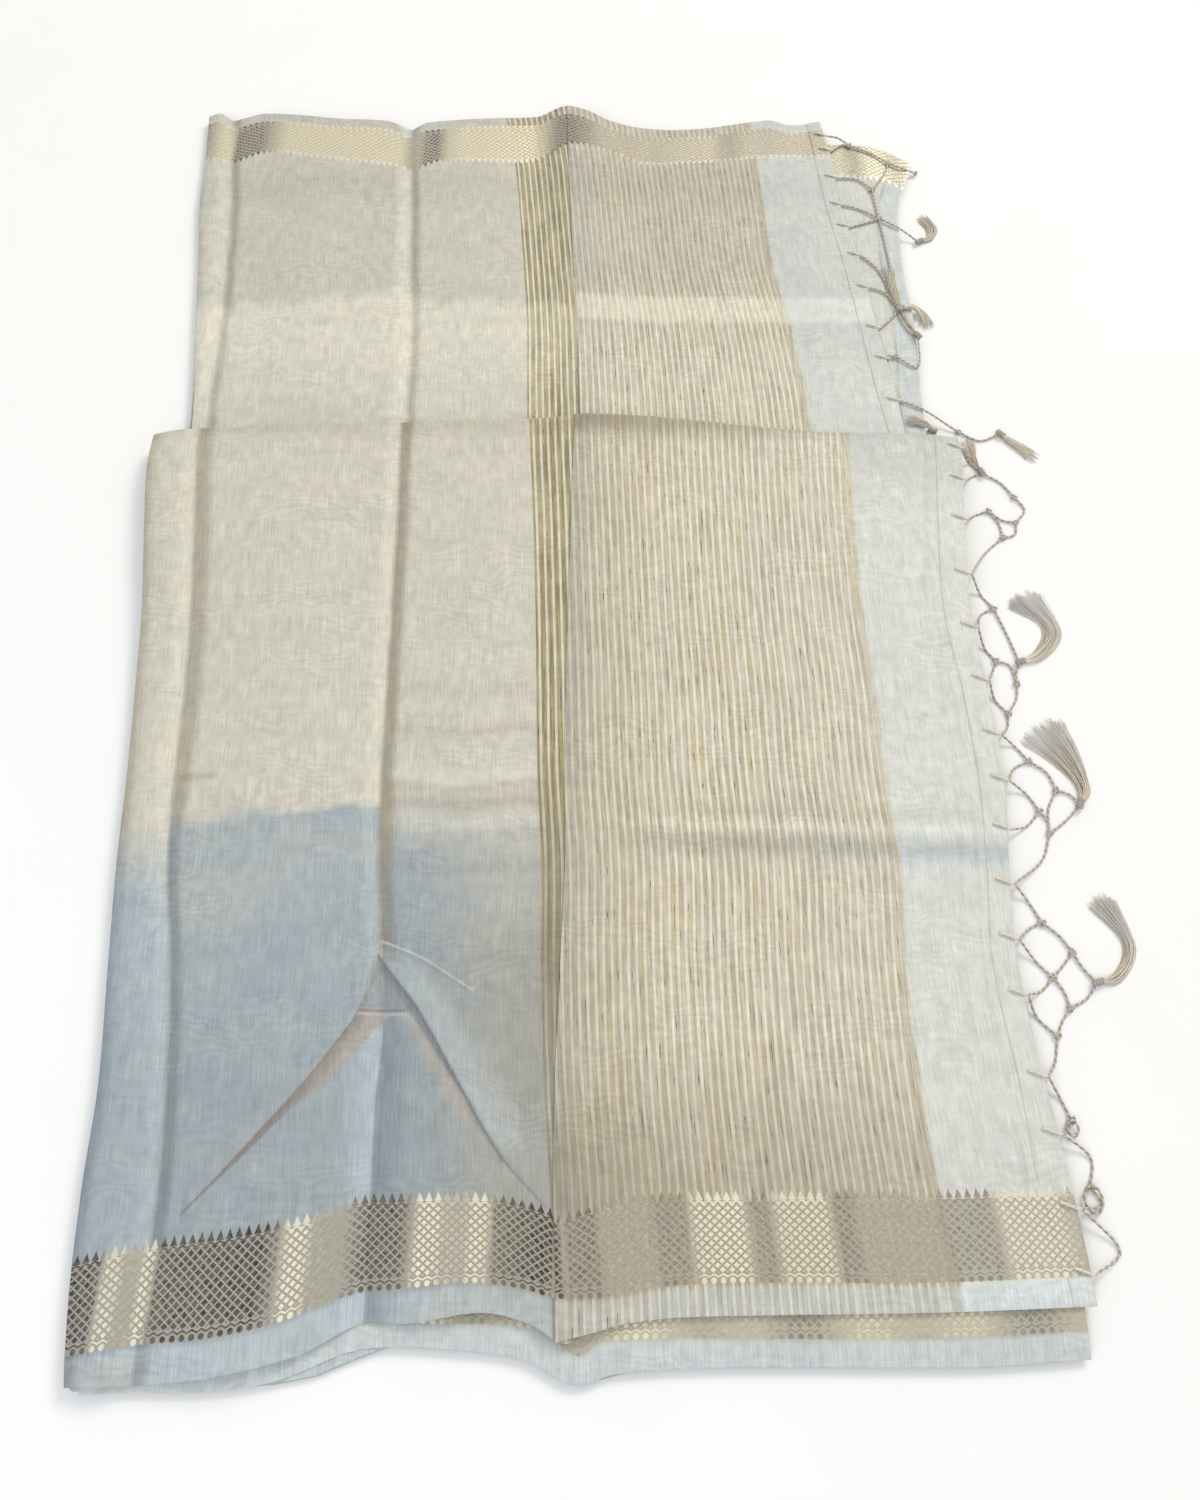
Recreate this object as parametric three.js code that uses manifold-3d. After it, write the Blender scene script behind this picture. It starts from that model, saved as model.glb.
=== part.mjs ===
// A striped-pallu saree, folded lengthwise to a flat stack and laid down in a Z.
// The near half of the stack turns over at its far nose and lies on the far half.
// The pallu is turned over on top, with its knotted fringe along the right edge.
// Units are millimetres. +X is right, +Y is away from the viewer, +Z is up, the floor is z = 0.

import * as THREE from 'three';
import Module from 'manifold-3d';
import { mergeVertices } from 'three/addons/utils/BufferGeometryUtils.js';

const wasm = await Module();
wasm.setup();

// Thicknesses and gaps
const WALL = 1.2;
const LAYER_GAP = 0.4;
const SEAM_GAP = 0.3;
const OVERLAP_RISE = WALL + LAYER_GAP;
const UNDER_DEPTH = WALL + 0.7;
const CORE_GAP = 0.6;

// Heights of the cloth's top face above the floor
const NEAR_LEVEL = 7.6;
const NOSE_LEVEL = 14;
const FAR_LEVEL = 6.6;
const NOSE_RAMP = { from: 30, to: 215 };

// The fold along the left edge, where the top layer turns in under itself
const LIP_RADIUS = 1.35;
const LIP_TURN_IN = 4;
const LIP_SHOULDER = 3.5;

// The nose, where the near half turns under and lies on the far half
const NOSE_CLEARANCE = 0.7;
const NOSE_TUCK = 20;

// The pallu's ridge, and the strip of body cloth that runs on under it
const RIDGE_WIDTH = { left: 28, right: 72 };
const RIDGE_LAP = 9;

// The turned hem at the fringe end
const HEM_THICKNESS = 1.8;
const HEM_RISE = 0.3;

// Edges that hang over the hidden stack
const NEAR_DROP = { width: 18, depth: 2 };
const SIDE_DROP = { width: 18, depth: 1.5 };
const UNDER_WIDTH_NEAR = 50;

// The first row of the far half, hidden under the nose
const FAR_START = 244;
const TONGUE_START = 238;

// Fringe
const CORD_RADIUS = 0.7;
const CORD_LIFT = 1.6;
const KNOT_RADIUS = 1.7;
const KNOT_LIFT = 2.5;
const STRIP = { width: 2, thickness: 1.4, sink: 0.2 };
const LOCK_RADIUS = 0.8;
const TASSEL_LOCKS = 7;
const LOCK_STEPS = 4;
const UPPER_LIFT = 1.9;
const BRUSH_ARCH = 4;
const CORD_STEPS = 3;
const TASSEL_HEAD = { radius: 2.2, length: 8, sides: 6 };

// A short table: its column names, then its rows of numbers
const table = (names, ...rows) =>
  rows.map((row) => Object.fromEntries(names.split(' ').map((name, i) => [name, row[i]])));

// Guide lines of the near half: where each lies across (x) at each distance (y).
const NEAR_GUIDES = table(
  'y left crease1 crease2 stripes ridge plain hem end',
  [-340, -269, -235, -122, -24, -22, 188, 244, 256],
  [-290, -275, -236, -124, -25, -23, 187, 243, 256],
  [-240, -278, -237, -123, -27, -25, 181, 235, 253],
  [-190, -279, -241, -123, -31, -25, 178, 233, 248],
  [-120, -286, -250, -127, -34, -23, 178, 228, 243],
  [-60, -292, -261, -134, -35, -21, 181, 233, 247],
  [0, -296, -266, -137, -39, -22, 178, 236, 253],
  [60, -301, -269, -138, -41, -22, 178, 234, 251],
  [120, -306, -273, -139, -43, -21, 175, 229, 248],
  [190, -315, -280, -140, -46, -20, 175, 233, 252],
  [240, -321, -286, -142, -49, -19, 177, 238, 257],
  [280, -320, -289, -143, -51, -18, 179, 240, 257],
);

// Guide lines of the far half. under is the right edge of the second layer.
const FAR_GUIDES = table(
  'y left crease1 crease2 stripes ridge plain hem end under',
  [240, -296, -285, -141, -52, -14, 155, 214, 223, 236],
  [310, -302, -288, -142, -54, -15, 152, 205, 219, 238],
  [380, -310, -290, -144, -56, -17, 145, 198, 211, 241],
  [440, -317, -294, -149, -60, -21, 136, 192, 206, 239],
  [510, -326, -300, -153, -66, -24, 133, 183, 195, 243],
  [560, -329, -306, -157, -71, -26, 130, 179, 193, 257],
  [620, -334, -312, -160, -81, -28, 127, 174, 185, 240],
);

// Distances at which a column's x is read to find the edge or the nose that it meets
const NEAR_EDGE_READ = -310;
const NOSE_READ = 268;
const FAR_EDGE_READ = 605;
const FAR_UNDER_READ = 560;

// Outlines across the width: how far away (y) each edge lies at each x.
const BODY_NEAR_EDGE = [
  { x: -275, y: -337 },
  { x: -235, y: -336 },
  { x: -194, y: -332 },
  { x: -152, y: -322 },
  { x: -122, y: -308 },
  { x: -97, y: -308 },
  { x: -60, y: -303 },
  { x: -34, y: -309 },
  { x: -22, y: -317 },
];
const PALLU_NEAR_EDGE = [
  { x: -24, y: -317 },
  { x: -3, y: -312 },
  { x: 13, y: -308 },
  { x: 45, y: -305 },
  { x: 171, y: -303 },
  { x: 256, y: -300 },
];
const UNDER_NEAR_EDGE = [
  { x: -275, y: -341 },
  { x: -235, y: -339 },
  { x: -198, y: -339 },
  { x: -163, y: -334 },
  { x: -122, y: -320 },
  { x: -65, y: -321 },
  { x: -38, y: -325 },
  { x: -13, y: -336 },
  { x: 8, y: -331 },
  { x: 69, y: -328 },
  { x: 188, y: -328 },
  { x: 256, y: -324 },
];
const NOSE_LINE = [
  { x: -330, y: 262 },
  { x: -316, y: 268 },
  { x: -290, y: 272 },
  { x: -100, y: 279 },
  { x: 32, y: 283 },
  { x: 64, y: 280 },
  { x: 110, y: 274 },
  { x: 156, y: 269 },
  { x: 225, y: 267 },
  { x: 260, y: 264 },
];
const BODY_FAR_EDGE = [
  { x: -336, y: 615 },
  { x: -322, y: 618 },
  { x: -311, y: 611 },
  { x: -285, y: 618 },
  { x: -224, y: 610 },
  { x: -179, y: 609 },
  { x: -160, y: 600 },
  { x: -146, y: 608 },
  { x: -75, y: 611 },
  { x: -28, y: 617 },
  { x: -18, y: 614 },
];
const PALLU_FAR_EDGE = [
  { x: -28, y: 617 },
  { x: -10, y: 612 },
  { x: 10, y: 603 },
  { x: 50, y: 598 },
  { x: 80, y: 599 },
  { x: 142, y: 610 },
  { x: 160, y: 604 },
  { x: 185, y: 609 },
];
const UNDER_FAR_EDGE = [
  { x: 120, y: 584 },
  { x: 212, y: 582 },
  { x: 236, y: 577 },
  { x: 257, y: 560 },
];

// Height of the pallu's ridge above the cloth beside it
const RIDGE_HEIGHT = [
  { y: -340, rise: 3 },
  { y: -100, rise: 3.4 },
  { y: 120, rise: 4.4 },
  { y: 280, rise: 5 },
];
const FAR_RIDGE_HEIGHT = [
  { y: 240, rise: 2 },
  { y: 300, rise: 2.8 },
  { y: 450, rise: 6 },
  { y: 620, rise: 10 },
];

// Soft swells of the cloth between neighbouring creases
const NEAR_SWELLS = [
  { from: 'left', to: 'crease1', rise: 2.2 },
  { from: 'crease1', to: 'crease2', rise: 3.4 },
  { from: 'crease2', to: 'ridge', rise: 2.6 },
  { from: 'ridge', to: 'plain', rise: 0.5 },
  { from: 'plain', to: 'hem', rise: 0.6 },
];
const FAR_SWELLS = [
  { from: 'left', to: 'crease1', rise: 1.4 },
  { from: 'crease1', to: 'crease2', rise: 3 },
  { from: 'crease2', to: 'ridge', rise: 2.4 },
  { from: 'ridge', to: 'plain', rise: 1 },
  { from: 'plain', to: 'hem', rise: 0.8 },
];

// Creases pressed across the cloth, where the swells are flattened
const NEAR_PRESSES = [
  { y: -32, width: 12, depth: 0.5 },
  { y: 246, width: 9, depth: 0.5 },
];
const FAR_PRESSES = [{ y: 376, width: 12, depth: 0.6 }];

// The tuck in the near panel: raised lips that run out from its apex like a capital A
const TUCK_APEX = { x: -126, y: -110 };
const TUCK_LIPS = [
  { x: -225, y: -257, rise: 2.6, outside: 22, inside: 9, side: -1 },
  { x: -28, y: -252, rise: 2.2, outside: 20, inside: 8, side: 1 },
];
const TUCK_SPINE = { from: -150, rise: 2.4, width: 14, before: 30, after: 20 };

// A lip rises from before its apex and fades towards its end, in shares of its length
const LIP_START = { before: 20, full: 25 };
const LIP_FADE = { from: 0.8, to: 1.05 };

// Rows from the near edge to the far one, closer together at the edge and over the tuck
const NEAR_ROWS = [
  { upTo: 0.035, rows: 1 },
  { upTo: 0.38, rows: 11 },
  { upTo: 0.92, rows: 7 },
  { upTo: 1, rows: 2 },
];
const FAR_ROWS = [
  { upTo: 0.16, rows: 2 },
  { upTo: 1, rows: 8 },
];
const NOSE_STEPS = 4;
const LIP_STEPS = 3;

// Strips between guide lines, from left to right
const BODY_STRIPS = [
  { from: 'left', to: 'crease1', strips: 3 },
  { from: 'crease1', to: 'crease2', strips: 7 },
  { from: 'crease2', to: 'stripes', strips: 6 },
  { from: 'stripes', to: 'ridge', strips: 2 },
];
const PALLU_STRIPS = [
  { from: 'ridge', to: 'plain', strips: 9 },
  { from: 'plain', to: 'hem', strips: 3 },
];

// Fringe roots along each fringe end, by their distance y
const [NEAR_ROOTS] = table(
  'r1 r2 r3 r4 r5 r6 r7 r8 r9 r10 r11 r12 r13 r14 r15 r16',
  [254, 226, 192, 148, 107, 68, 29, -3, -36, -71, -105, -138, -184, -215, -253, -285],
);
const [FAR_ROOTS] = table(
  's1 s2 s3 s4 s5 s6 s7 s8 s9 s10',
  [592, 574, 541, 509, 484, 452, 417, 375, 344, 303],
);

// Knots of the net beside each fringe end
const NEAR_KNOTS = [
  { name: 'd1', x: 274, y: 240 },
  { name: 'd2', x: 294, y: 219 },
  { name: 'd3', x: 292, y: 197 },
  { name: 'd4', x: 274, y: 207 },
  { name: 'd5', x: 281, y: 184 },
  { name: 'a1', x: 266, y: 126 },
  { name: 'a2', x: 262, y: 85 },
  { name: 'a3', x: 264, y: 46 },
  { name: 'a4', x: 273, y: 68 },
  { name: 'headA', x: 277, y: 84 },
  { name: 'b1', x: 272, y: 12 },
  { name: 'b2', x: 273, y: -22 },
  { name: 'b3', x: 286, y: -8 },
  { name: 'b4', x: 277, y: -37 },
  { name: 'headB', x: 299, y: -18 },
  { name: 'c1', x: 263, y: -94 },
  { name: 'c2', x: 264, y: -127 },
  { name: 'c3', x: 261, y: -161 },
  { name: 'c4', x: 278, y: -112 },
  { name: 'c5', x: 271, y: -145 },
  { name: 'headC', x: 289, y: -130 },
  { name: 'e1', x: 261, y: -207 },
  { name: 'e2', x: 265, y: -242 },
];
const FAR_KNOTS = [
  { name: 'm1', x: 209, y: 580 },
  { name: 'm2', x: 240, y: 558 },
  { name: 'end1', x: 262, y: 551 },
  { name: 'm3', x: 223, y: 527 },
  { name: 'm4', x: 226, y: 493 },
  { name: 'headF', x: 256, y: 472 },
  { name: 'headG', x: 231, y: 394 },
  { name: 'm5', x: 242, y: 366 },
  { name: 'm6', x: 223, y: 346 },
  { name: 'm7', x: 262, y: 278 },
  { name: 'headH', x: 292, y: 276 },
];

// Cords of the net, each bent through one point on its way
const NEAR_CORDS = [
  { from: 'r1', to: 'd1', x: 267, y: 249 },
  { from: 'r2', to: 'd1', x: 265, y: 236 },
  { from: 'd1', to: 'd2', x: 286, y: 232 },
  { from: 'd2', to: 'd3', x: 300, y: 208 },
  { from: 'd3', to: 'd4', x: 283, y: 199 },
  { from: 'r3', to: 'd4', x: 262, y: 202 },
  { from: 'd4', to: 'd5', x: 280, y: 196 },
  { from: 'd3', to: 'd5', x: 290, y: 187 },
  { from: 'r4', to: 'd5', x: 267, y: 171 },
  { from: 'r4', to: 'a1', x: 259, y: 137 },
  { from: 'r5', to: 'a1', x: 257, y: 121 },
  { from: 'r5', to: 'a2', x: 256, y: 94 },
  { from: 'r6', to: 'a2', x: 258, y: 76 },
  { from: 'r6', to: 'a3', x: 257, y: 56 },
  { from: 'r7', to: 'a3', x: 262, y: 36 },
  { from: 'a1', to: 'headA', x: 272, y: 106 },
  { from: 'a2', to: 'a4', x: 270, y: 82 },
  { from: 'a3', to: 'a4', x: 271, y: 57 },
  { from: 'a4', to: 'headA', x: 274, y: 76 },
  { from: 'r7', to: 'b1', x: 265, y: 22 },
  { from: 'r8', to: 'b1', x: 262, y: 7 },
  { from: 'r8', to: 'b2', x: 267, y: -11 },
  { from: 'r9', to: 'b2', x: 264, y: -32 },
  { from: 'r10', to: 'b4', x: 270, y: -54 },
  { from: 'b1', to: 'b3', x: 282, y: 4 },
  { from: 'b2', to: 'b4', x: 277, y: -29 },
  { from: 'b3', to: 'b4', x: 279, y: -21 },
  { from: 'b3', to: 'headB', x: 294, y: -11 },
  { from: 'b4', to: 'headB', x: 288, y: -29 },
  { from: 'r10', to: 'c1', x: 257, y: -81 },
  { from: 'r11', to: 'c1', x: 256, y: -97 },
  { from: 'r11', to: 'c2', x: 256, y: -118 },
  { from: 'r12', to: 'c2', x: 256, y: -135 },
  { from: 'r12', to: 'c3', x: 251, y: -150 },
  { from: 'r13', to: 'c3', x: 257, y: -176 },
  { from: 'c1', to: 'c4', x: 272, y: -102 },
  { from: 'c2', to: 'c4', x: 271, y: -120 },
  { from: 'c2', to: 'c5', x: 269, y: -135 },
  { from: 'c3', to: 'c5', x: 265, y: -153 },
  { from: 'c4', to: 'headC', x: 283, y: -122 },
  { from: 'c5', to: 'headC', x: 282, y: -139 },
  { from: 'r13', to: 'e1', x: 257, y: -196 },
  { from: 'r14', to: 'e1', x: 258, y: -212 },
  { from: 'r14', to: 'e2', x: 268, y: -227 },
  { from: 'r15', to: 'e2', x: 270, y: -251 },
  { from: 'r15', to: 'r16', x: 275, y: -274 },
];
const FAR_CORDS = [
  { from: 's1', to: 'm1', x: 200, y: 590 },
  { from: 's2', to: 'm1', x: 203, y: 581 },
  { from: 'm1', to: 'm2', x: 226, y: 571 },
  { from: 's3', to: 'm3', x: 212, y: 539 },
  { from: 'm3', to: 'm2', x: 234, y: 544 },
  { from: 'm2', to: 'end1', x: 252, y: 552 },
  { from: 's4', to: 'm4', x: 211, y: 504 },
  { from: 's5', to: 'm4', x: 213, y: 488 },
  { from: 'm4', to: 'headF', x: 241, y: 482 },
  { from: 'm3', to: 'headG', x: 228, y: 455 },
  { from: 's6', to: 'headG', x: 219, y: 436 },
  { from: 's7', to: 'headG', x: 221, y: 412 },
  { from: 's8', to: 'headG', x: 222, y: 383 },
  { from: 'headG', to: 'm5', x: 238, y: 378 },
  { from: 'm5', to: 'm6', x: 238, y: 336 },
  { from: 's9', to: 'm6', x: 217, y: 347 },
  { from: 's10', to: 'm7', x: 236, y: 296 },
  { from: 'm7', to: 'headH', x: 277, y: 270 },
];

// Tassels: the brush of locks widens from its head along these sections.
const brush = (...sections) => table('x y half', ...sections);
const NEAR_TASSELS = [
  { head: 'd1', sections: brush([270, 250, 3], [268, 262, 5], [267, 272, 6]) },
  { head: 'headA', sections: brush([290, 89, 4], [302, 108, 7], [286, 137, 13]) },
  { head: 'headB', sections: brush([303, -8, 4], [297, 12, 9], [283, 36, 14]) },
  { head: 'headC', sections: brush([301, -127, 3], [312, -109, 4], [299, -78, 9]) },
];
const FAR_TASSELS = [
  { head: 'headF', sections: brush([265, 477, 3], [268, 488, 5], [262, 502, 6]) },
  { head: 'headG', sections: brush([242, 397, 3], [250, 392, 5], [253, 380, 6]) },
  { head: 'headH', sections: brush([299, 269, 3], [306, 263, 4], [315, 253, 5]) },
];

const clamp01 = (value) => Math.min(Math.max(value, 0), 1);
const mix = (a, b, share) => a + (b - a) * share;

function ease(value, from, to) {
  const share = clamp01((value - from) / (to - from));
  return share * share * (3 - 2 * share);
}

// A smooth hill of height 1 at distance 0 that is flat at its width
function hill(distance, width) {
  const share = clamp01(Math.abs(distance) / width);
  return (1 + Math.cos(Math.PI * share)) / 2;
}

// A smooth curve through one column of a table
function readTable(rows, key, column, at) {
  const last = rows.length - 1;
  let i = 0;
  while (i < last - 1 && at > rows[i + 1][key]) {
    i += 1;
  }
  const slope = (j) => {
    const before = rows[Math.max(j - 1, 0)];
    const after = rows[Math.min(j + 1, last)];
    return (after[column] - before[column]) / (after[key] - before[key]);
  };
  const span = rows[i + 1][key] - rows[i][key];
  const t = clamp01((at - rows[i][key]) / span);
  const startWeight = (1 + 2 * t) * (1 - t) * (1 - t);
  const startBend = t * (1 - t) * (1 - t) * span * slope(i);
  const endBend = t * t * (t - 1) * span * slope(i + 1);
  return startWeight * rows[i][column] + (1 - startWeight) * rows[i + 1][column] + startBend + endBend;
}

const nearGuide = (name, y) => readTable(NEAR_GUIDES, 'y', name, y);
const farGuide = (name, y) => readTable(FAR_GUIDES, 'y', name, y);
const edgeAt = (edge, x) => readTable(edge, 'x', 'y', x);

function swell(swells, guide, x, y) {
  for (const { from, to, rise } of swells) {
    const start = guide(from, y);
    const end = guide(to, y);
    if (x >= start && x <= end) {
      return rise * Math.sin((Math.PI * (x - start)) / (end - start)) ** 2;
    }
  }
  return 0;
}

function pressed(presses, y) {
  return presses.reduce((share, press) => share * (1 - press.depth * hill(y - press.y, press.width)), 1);
}

// How far the ridge lifts the cloth at x, as a share of its height
function ridgeShare(guide, x, y) {
  const across = x - guide('ridge', y);
  return hill(across, across < 0 ? RIDGE_WIDTH.left : RIDGE_WIDTH.right);
}

// One raised lip of the tuck, steep on its inside and gentle on its outside
function tuckLip(lip, x, y) {
  const run = { x: lip.x - TUCK_APEX.x, y: lip.y - TUCK_APEX.y };
  const length = Math.hypot(run.x, run.y);
  const along = ((x - TUCK_APEX.x) * run.x + (y - TUCK_APEX.y) * run.y) / length;
  const across = ((x - TUCK_APEX.x) * run.y - (y - TUCK_APEX.y) * run.x) / length;
  const outward = across * lip.side;
  const width = outward > 0 ? lip.outside : lip.inside;
  const risen = ease(along, -LIP_START.before, LIP_START.full);
  const faded = ease(along, LIP_FADE.from * length, LIP_FADE.to * length);
  return lip.rise * hill(across, width) * risen * (1 - faded);
}

function tuckSpine(x, y) {
  const across = x - nearGuide('crease2', y);
  const taper = ease(y, TUCK_SPINE.from + TUCK_SPINE.before, TUCK_SPINE.from - TUCK_SPINE.after);
  return TUCK_SPINE.rise * hill(across, TUCK_SPINE.width) * taper;
}

function tuck(x, y) {
  const lips = TUCK_LIPS.map((lip) => tuckLip(lip, x, y));
  return Math.max(...lips, tuckSpine(x, y));
}

// The swells calm down towards the nose, and start again behind it on the far half
const NOSE_CALM = { from: 190, to: 262, share: 0.75 };
const FAR_WAKE = { from: 285, to: 340 };
const NOSE_SETBACK = 4;

const nearLevel = (y) => mix(NEAR_LEVEL, NOSE_LEVEL, ease(y, NOSE_RAMP.from, NOSE_RAMP.to));

// The drop of every near layer where it hangs over the stack's near and right edges
function nearDrop(x, y) {
  const inFromEdge = (y - edgeAt(UNDER_NEAR_EDGE, x)) / NEAR_DROP.width;
  const inFromEnd = (nearGuide('end', y) - x) / SIDE_DROP.width;
  return NEAR_DROP.depth * (1 - clamp01(inFromEdge)) ** 2 + SIDE_DROP.depth * (1 - clamp01(inFromEnd)) ** 2;
}

// Top face of the near half without the step between its body and its pallu
function nearTop(x, y) {
  const ridge = readTable(RIDGE_HEIGHT, 'y', 'rise', y) * ridgeShare(nearGuide, x, y);
  const calm = 1 - NOSE_CALM.share * ease(y, NOSE_CALM.from, NOSE_CALM.to);
  const soft = swell(NEAR_SWELLS, nearGuide, x, y) * pressed(NEAR_PRESSES, y) * calm;
  return nearLevel(y) + ridge + soft + tuck(x, y) - nearDrop(x, y);
}

function farTop(x, y) {
  const ridge = readTable(FAR_RIDGE_HEIGHT, 'y', 'rise', y) * ridgeShare(farGuide, x, y);
  const wake = ease(y, FAR_WAKE.from, FAR_WAKE.to);
  const soft = swell(FAR_SWELLS, farGuide, x, y) * pressed(FAR_PRESSES, y) * wake;
  return FAR_LEVEL + ridge + soft;
}

// The body cloth runs on under the pallu's edge, so it lies one step lower beside the ridge.
const bodyStep = (guide, x, y) => OVERLAP_RISE * ridgeShare(guide, x, y);

// The nose's turn at x: where it starts, how high its middle is and its radius
function noseTurn(x) {
  const y = edgeAt(NOSE_LINE, x) - NOSE_SETBACK;
  const top = nearTop(x, y);
  const bottom = farTop(x, y) + NOSE_CLEARANCE;
  const radius = (top - bottom) / 2;
  return { y: edgeAt(NOSE_LINE, x) - radius, z: (top + bottom) / 2, radius };
}

// Share of the way along for each row, from spans of rows
function rowShares(spans) {
  const shares = [0];
  let start = 0;
  for (const { upTo, rows } of spans) {
    for (let i = 1; i <= rows; i += 1) {
      shares.push(mix(start, upTo, i / rows));
    }
    start = upTo;
  }
  return shares;
}

// Columns between guide lines. Each gives its x at a distance y.
function columnsBetween(gaps, guide) {
  const columns = [];
  gaps.forEach(({ from, to, strips }, order) => {
    for (let i = order === 0 ? 0 : 1; i <= strips; i += 1) {
      columns.push({ x: (y) => mix(guide(from, y), guide(to, y), i / strips), turn: 0, inward: 0 });
    }
  });
  return columns;
}

// The columns of the left fold, from its turned-in leg to the panel's flat
function lipColumns(guide) {
  const flat = (y) => guide('left', y) + LIP_RADIUS;
  const columns = [{ x: flat, turn: Math.PI, inward: LIP_TURN_IN }];
  for (let i = LIP_STEPS; i >= 0; i -= 1) {
    columns.push({ x: flat, turn: (Math.PI * i) / LIP_STEPS, inward: 0 });
  }
  return columns;
}

function bodyColumns(guide) {
  const columns = columnsBetween(BODY_STRIPS, guide).slice(1);
  const lap = { x: (y) => guide('ridge', y) + RIDGE_LAP, turn: 0, inward: 0 };
  return [...lipColumns(guide), ...columns, lap];
}

function palluColumns(guide) {
  const [ridge, ...columns] = columnsBetween(PALLU_STRIPS, guide);
  const hemSide = columns.pop();
  const overLap = { ...ridge, x: (y) => guide('ridge', y) + RIDGE_LAP };
  return [ridge, overLap, ...columns, { ...hemSide, x: (y) => guide('hem', y) - SEAM_GAP }];
}

function hemColumns(guide) {
  return [0, 0.5, 1].map((share) => ({
    x: (y) => mix(guide('hem', y), guide('end', y), share),
    turn: 0,
    inward: 0,
  }));
}

// A point of a panel, with its left fold turned in about the face's upward direction
function withLip(point, up, column) {
  const sideways = -LIP_RADIUS * Math.sin(column.turn) + column.inward;
  const down = LIP_RADIUS * (1 - Math.cos(column.turn));
  return new THREE.Vector3(point.x + sideways, point.y, point.z).addScaledVector(up, -down);
}

const UP = new THREE.Vector3(0, 0, 1);

// Rows of outer points for a near panel: flat rows, then the nose's turn and its tucked leg
function nearGrid(columns, edge, { step = () => 0, rise = 0, nose = true }) {
  const rows = rowShares(NEAR_ROWS).map((share) =>
    columns.map((column) => {
      const startX = column.x(NEAR_EDGE_READ);
      const turn = noseTurn(column.x(NOSE_READ));
      const y = mix(edgeAt(edge, startX), turn.y, share);
      const x = column.x(y);
      const z = share === 1 ? turn.z + turn.radius : nearTop(x, y);
      return withLip(new THREE.Vector3(x, y, z - step(x, y) + rise), UP, column);
    }),
  );
  const noseRow = (angle, tuckIn) =>
    columns.map((column) => {
      const x = column.x(NOSE_READ);
      const turn = noseTurn(x);
      const radius = turn.radius - step(x, turn.y) + rise;
      const up = new THREE.Vector3(0, Math.sin(angle), Math.cos(angle));
      const centre = new THREE.Vector3(x, turn.y - tuckIn, turn.z);
      return withLip(centre.addScaledVector(up, radius), up, column);
    });
  if (nose) {
    for (let i = 1; i <= NOSE_STEPS; i += 1) {
      rows.push(noseRow((Math.PI * i) / NOSE_STEPS, 0));
    }
    rows.push(noseRow(Math.PI, NOSE_TUCK));
  }
  return rows;
}

function farGrid(columns, edge, { step = () => 0, rise = 0 }) {
  return rowShares(FAR_ROWS).map((share) =>
    columns.map((column) => {
      const y = mix(FAR_START, edgeAt(edge, column.x(FAR_EDGE_READ)), share);
      const x = column.x(y);
      return withLip(new THREE.Vector3(x, y, farTop(x, y) - step(x, y) + rise), UP, column);
    }),
  );
}

// Inner points: the same grid moved in along its own normals
function movedIn(grid, distance) {
  const last = { row: grid.length - 1, column: grid[0].length - 1 };
  return grid.map((row, j) =>
    row.map((point, i) => {
      const across = row[Math.min(i + 1, last.column)].clone().sub(row[Math.max(i - 1, 0)]);
      const before = grid[Math.max(j - 1, 0)][i];
      const along = grid[Math.min(j + 1, last.row)][i].clone().sub(before);
      const normal = across.cross(along).normalize();
      return point.clone().addScaledVector(normal, -distance);
    }),
  );
}

// One closed body between two grids of the same size, the first one facing out
function solidBetween(outer, inner) {
  const rows = outer.length;
  const columns = outer[0].length;
  const positions = [...outer.flat(), ...inner.flat()].flatMap((p) => [p.x, p.y, p.z]);
  const index = [];
  const quad = (a, b, c, d) => index.push(a, b, c, a, c, d);
  const top = (j, i) => j * columns + i;
  const bottom = (j, i) => rows * columns + j * columns + i;
  for (let j = 0; j < rows - 1; j += 1) {
    for (let i = 0; i < columns - 1; i += 1) {
      quad(top(j, i), top(j, i + 1), top(j + 1, i + 1), top(j + 1, i));
      quad(bottom(j, i), bottom(j + 1, i), bottom(j + 1, i + 1), bottom(j, i + 1));
    }
    quad(top(j, 0), top(j + 1, 0), bottom(j + 1, 0), bottom(j, 0));
    quad(top(j + 1, columns - 1), top(j, columns - 1), bottom(j, columns - 1), bottom(j + 1, columns - 1));
  }
  for (let i = 0; i < columns - 1; i += 1) {
    quad(top(0, i + 1), top(0, i), bottom(0, i), bottom(0, i + 1));
    quad(top(rows - 1, i), top(rows - 1, i + 1), bottom(rows - 1, i + 1), bottom(rows - 1, i));
  }
  const geometry = new THREE.BufferGeometry();
  geometry.setAttribute('position', new THREE.Float32BufferAttribute(positions, 3));
  geometry.setIndex(index);
  return geometry;
}

const clothWall = (grid, thickness = WALL) => solidBetween(grid, movedIn(grid, thickness));

// Second layer, seen past the top layer's near edge
function underLayerNear() {
  const across = { from: -262, to: 250 };
  const columns = rowShares([
    { upTo: 0.96, rows: 15 },
    { upTo: 1, rows: 2 },
  ]);
  const grid = [0, 0.14, 0.36, 1].map((share) =>
    columns.map((place) => {
      const x = mix(across.from, across.to, place);
      const y = edgeAt(UNDER_NEAR_EDGE, x) + share * UNDER_WIDTH_NEAR;
      return new THREE.Vector3(x, y, nearLevel(y) - UNDER_DEPTH - nearDrop(x, y));
    }),
  );
  return clothWall(grid);
}

// Second layer, seen past the far half's fringe end
const UNDER_LAP = 12;
const farUnderInner = (y) => farGuide('plain', y) + UNDER_LAP;

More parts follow.
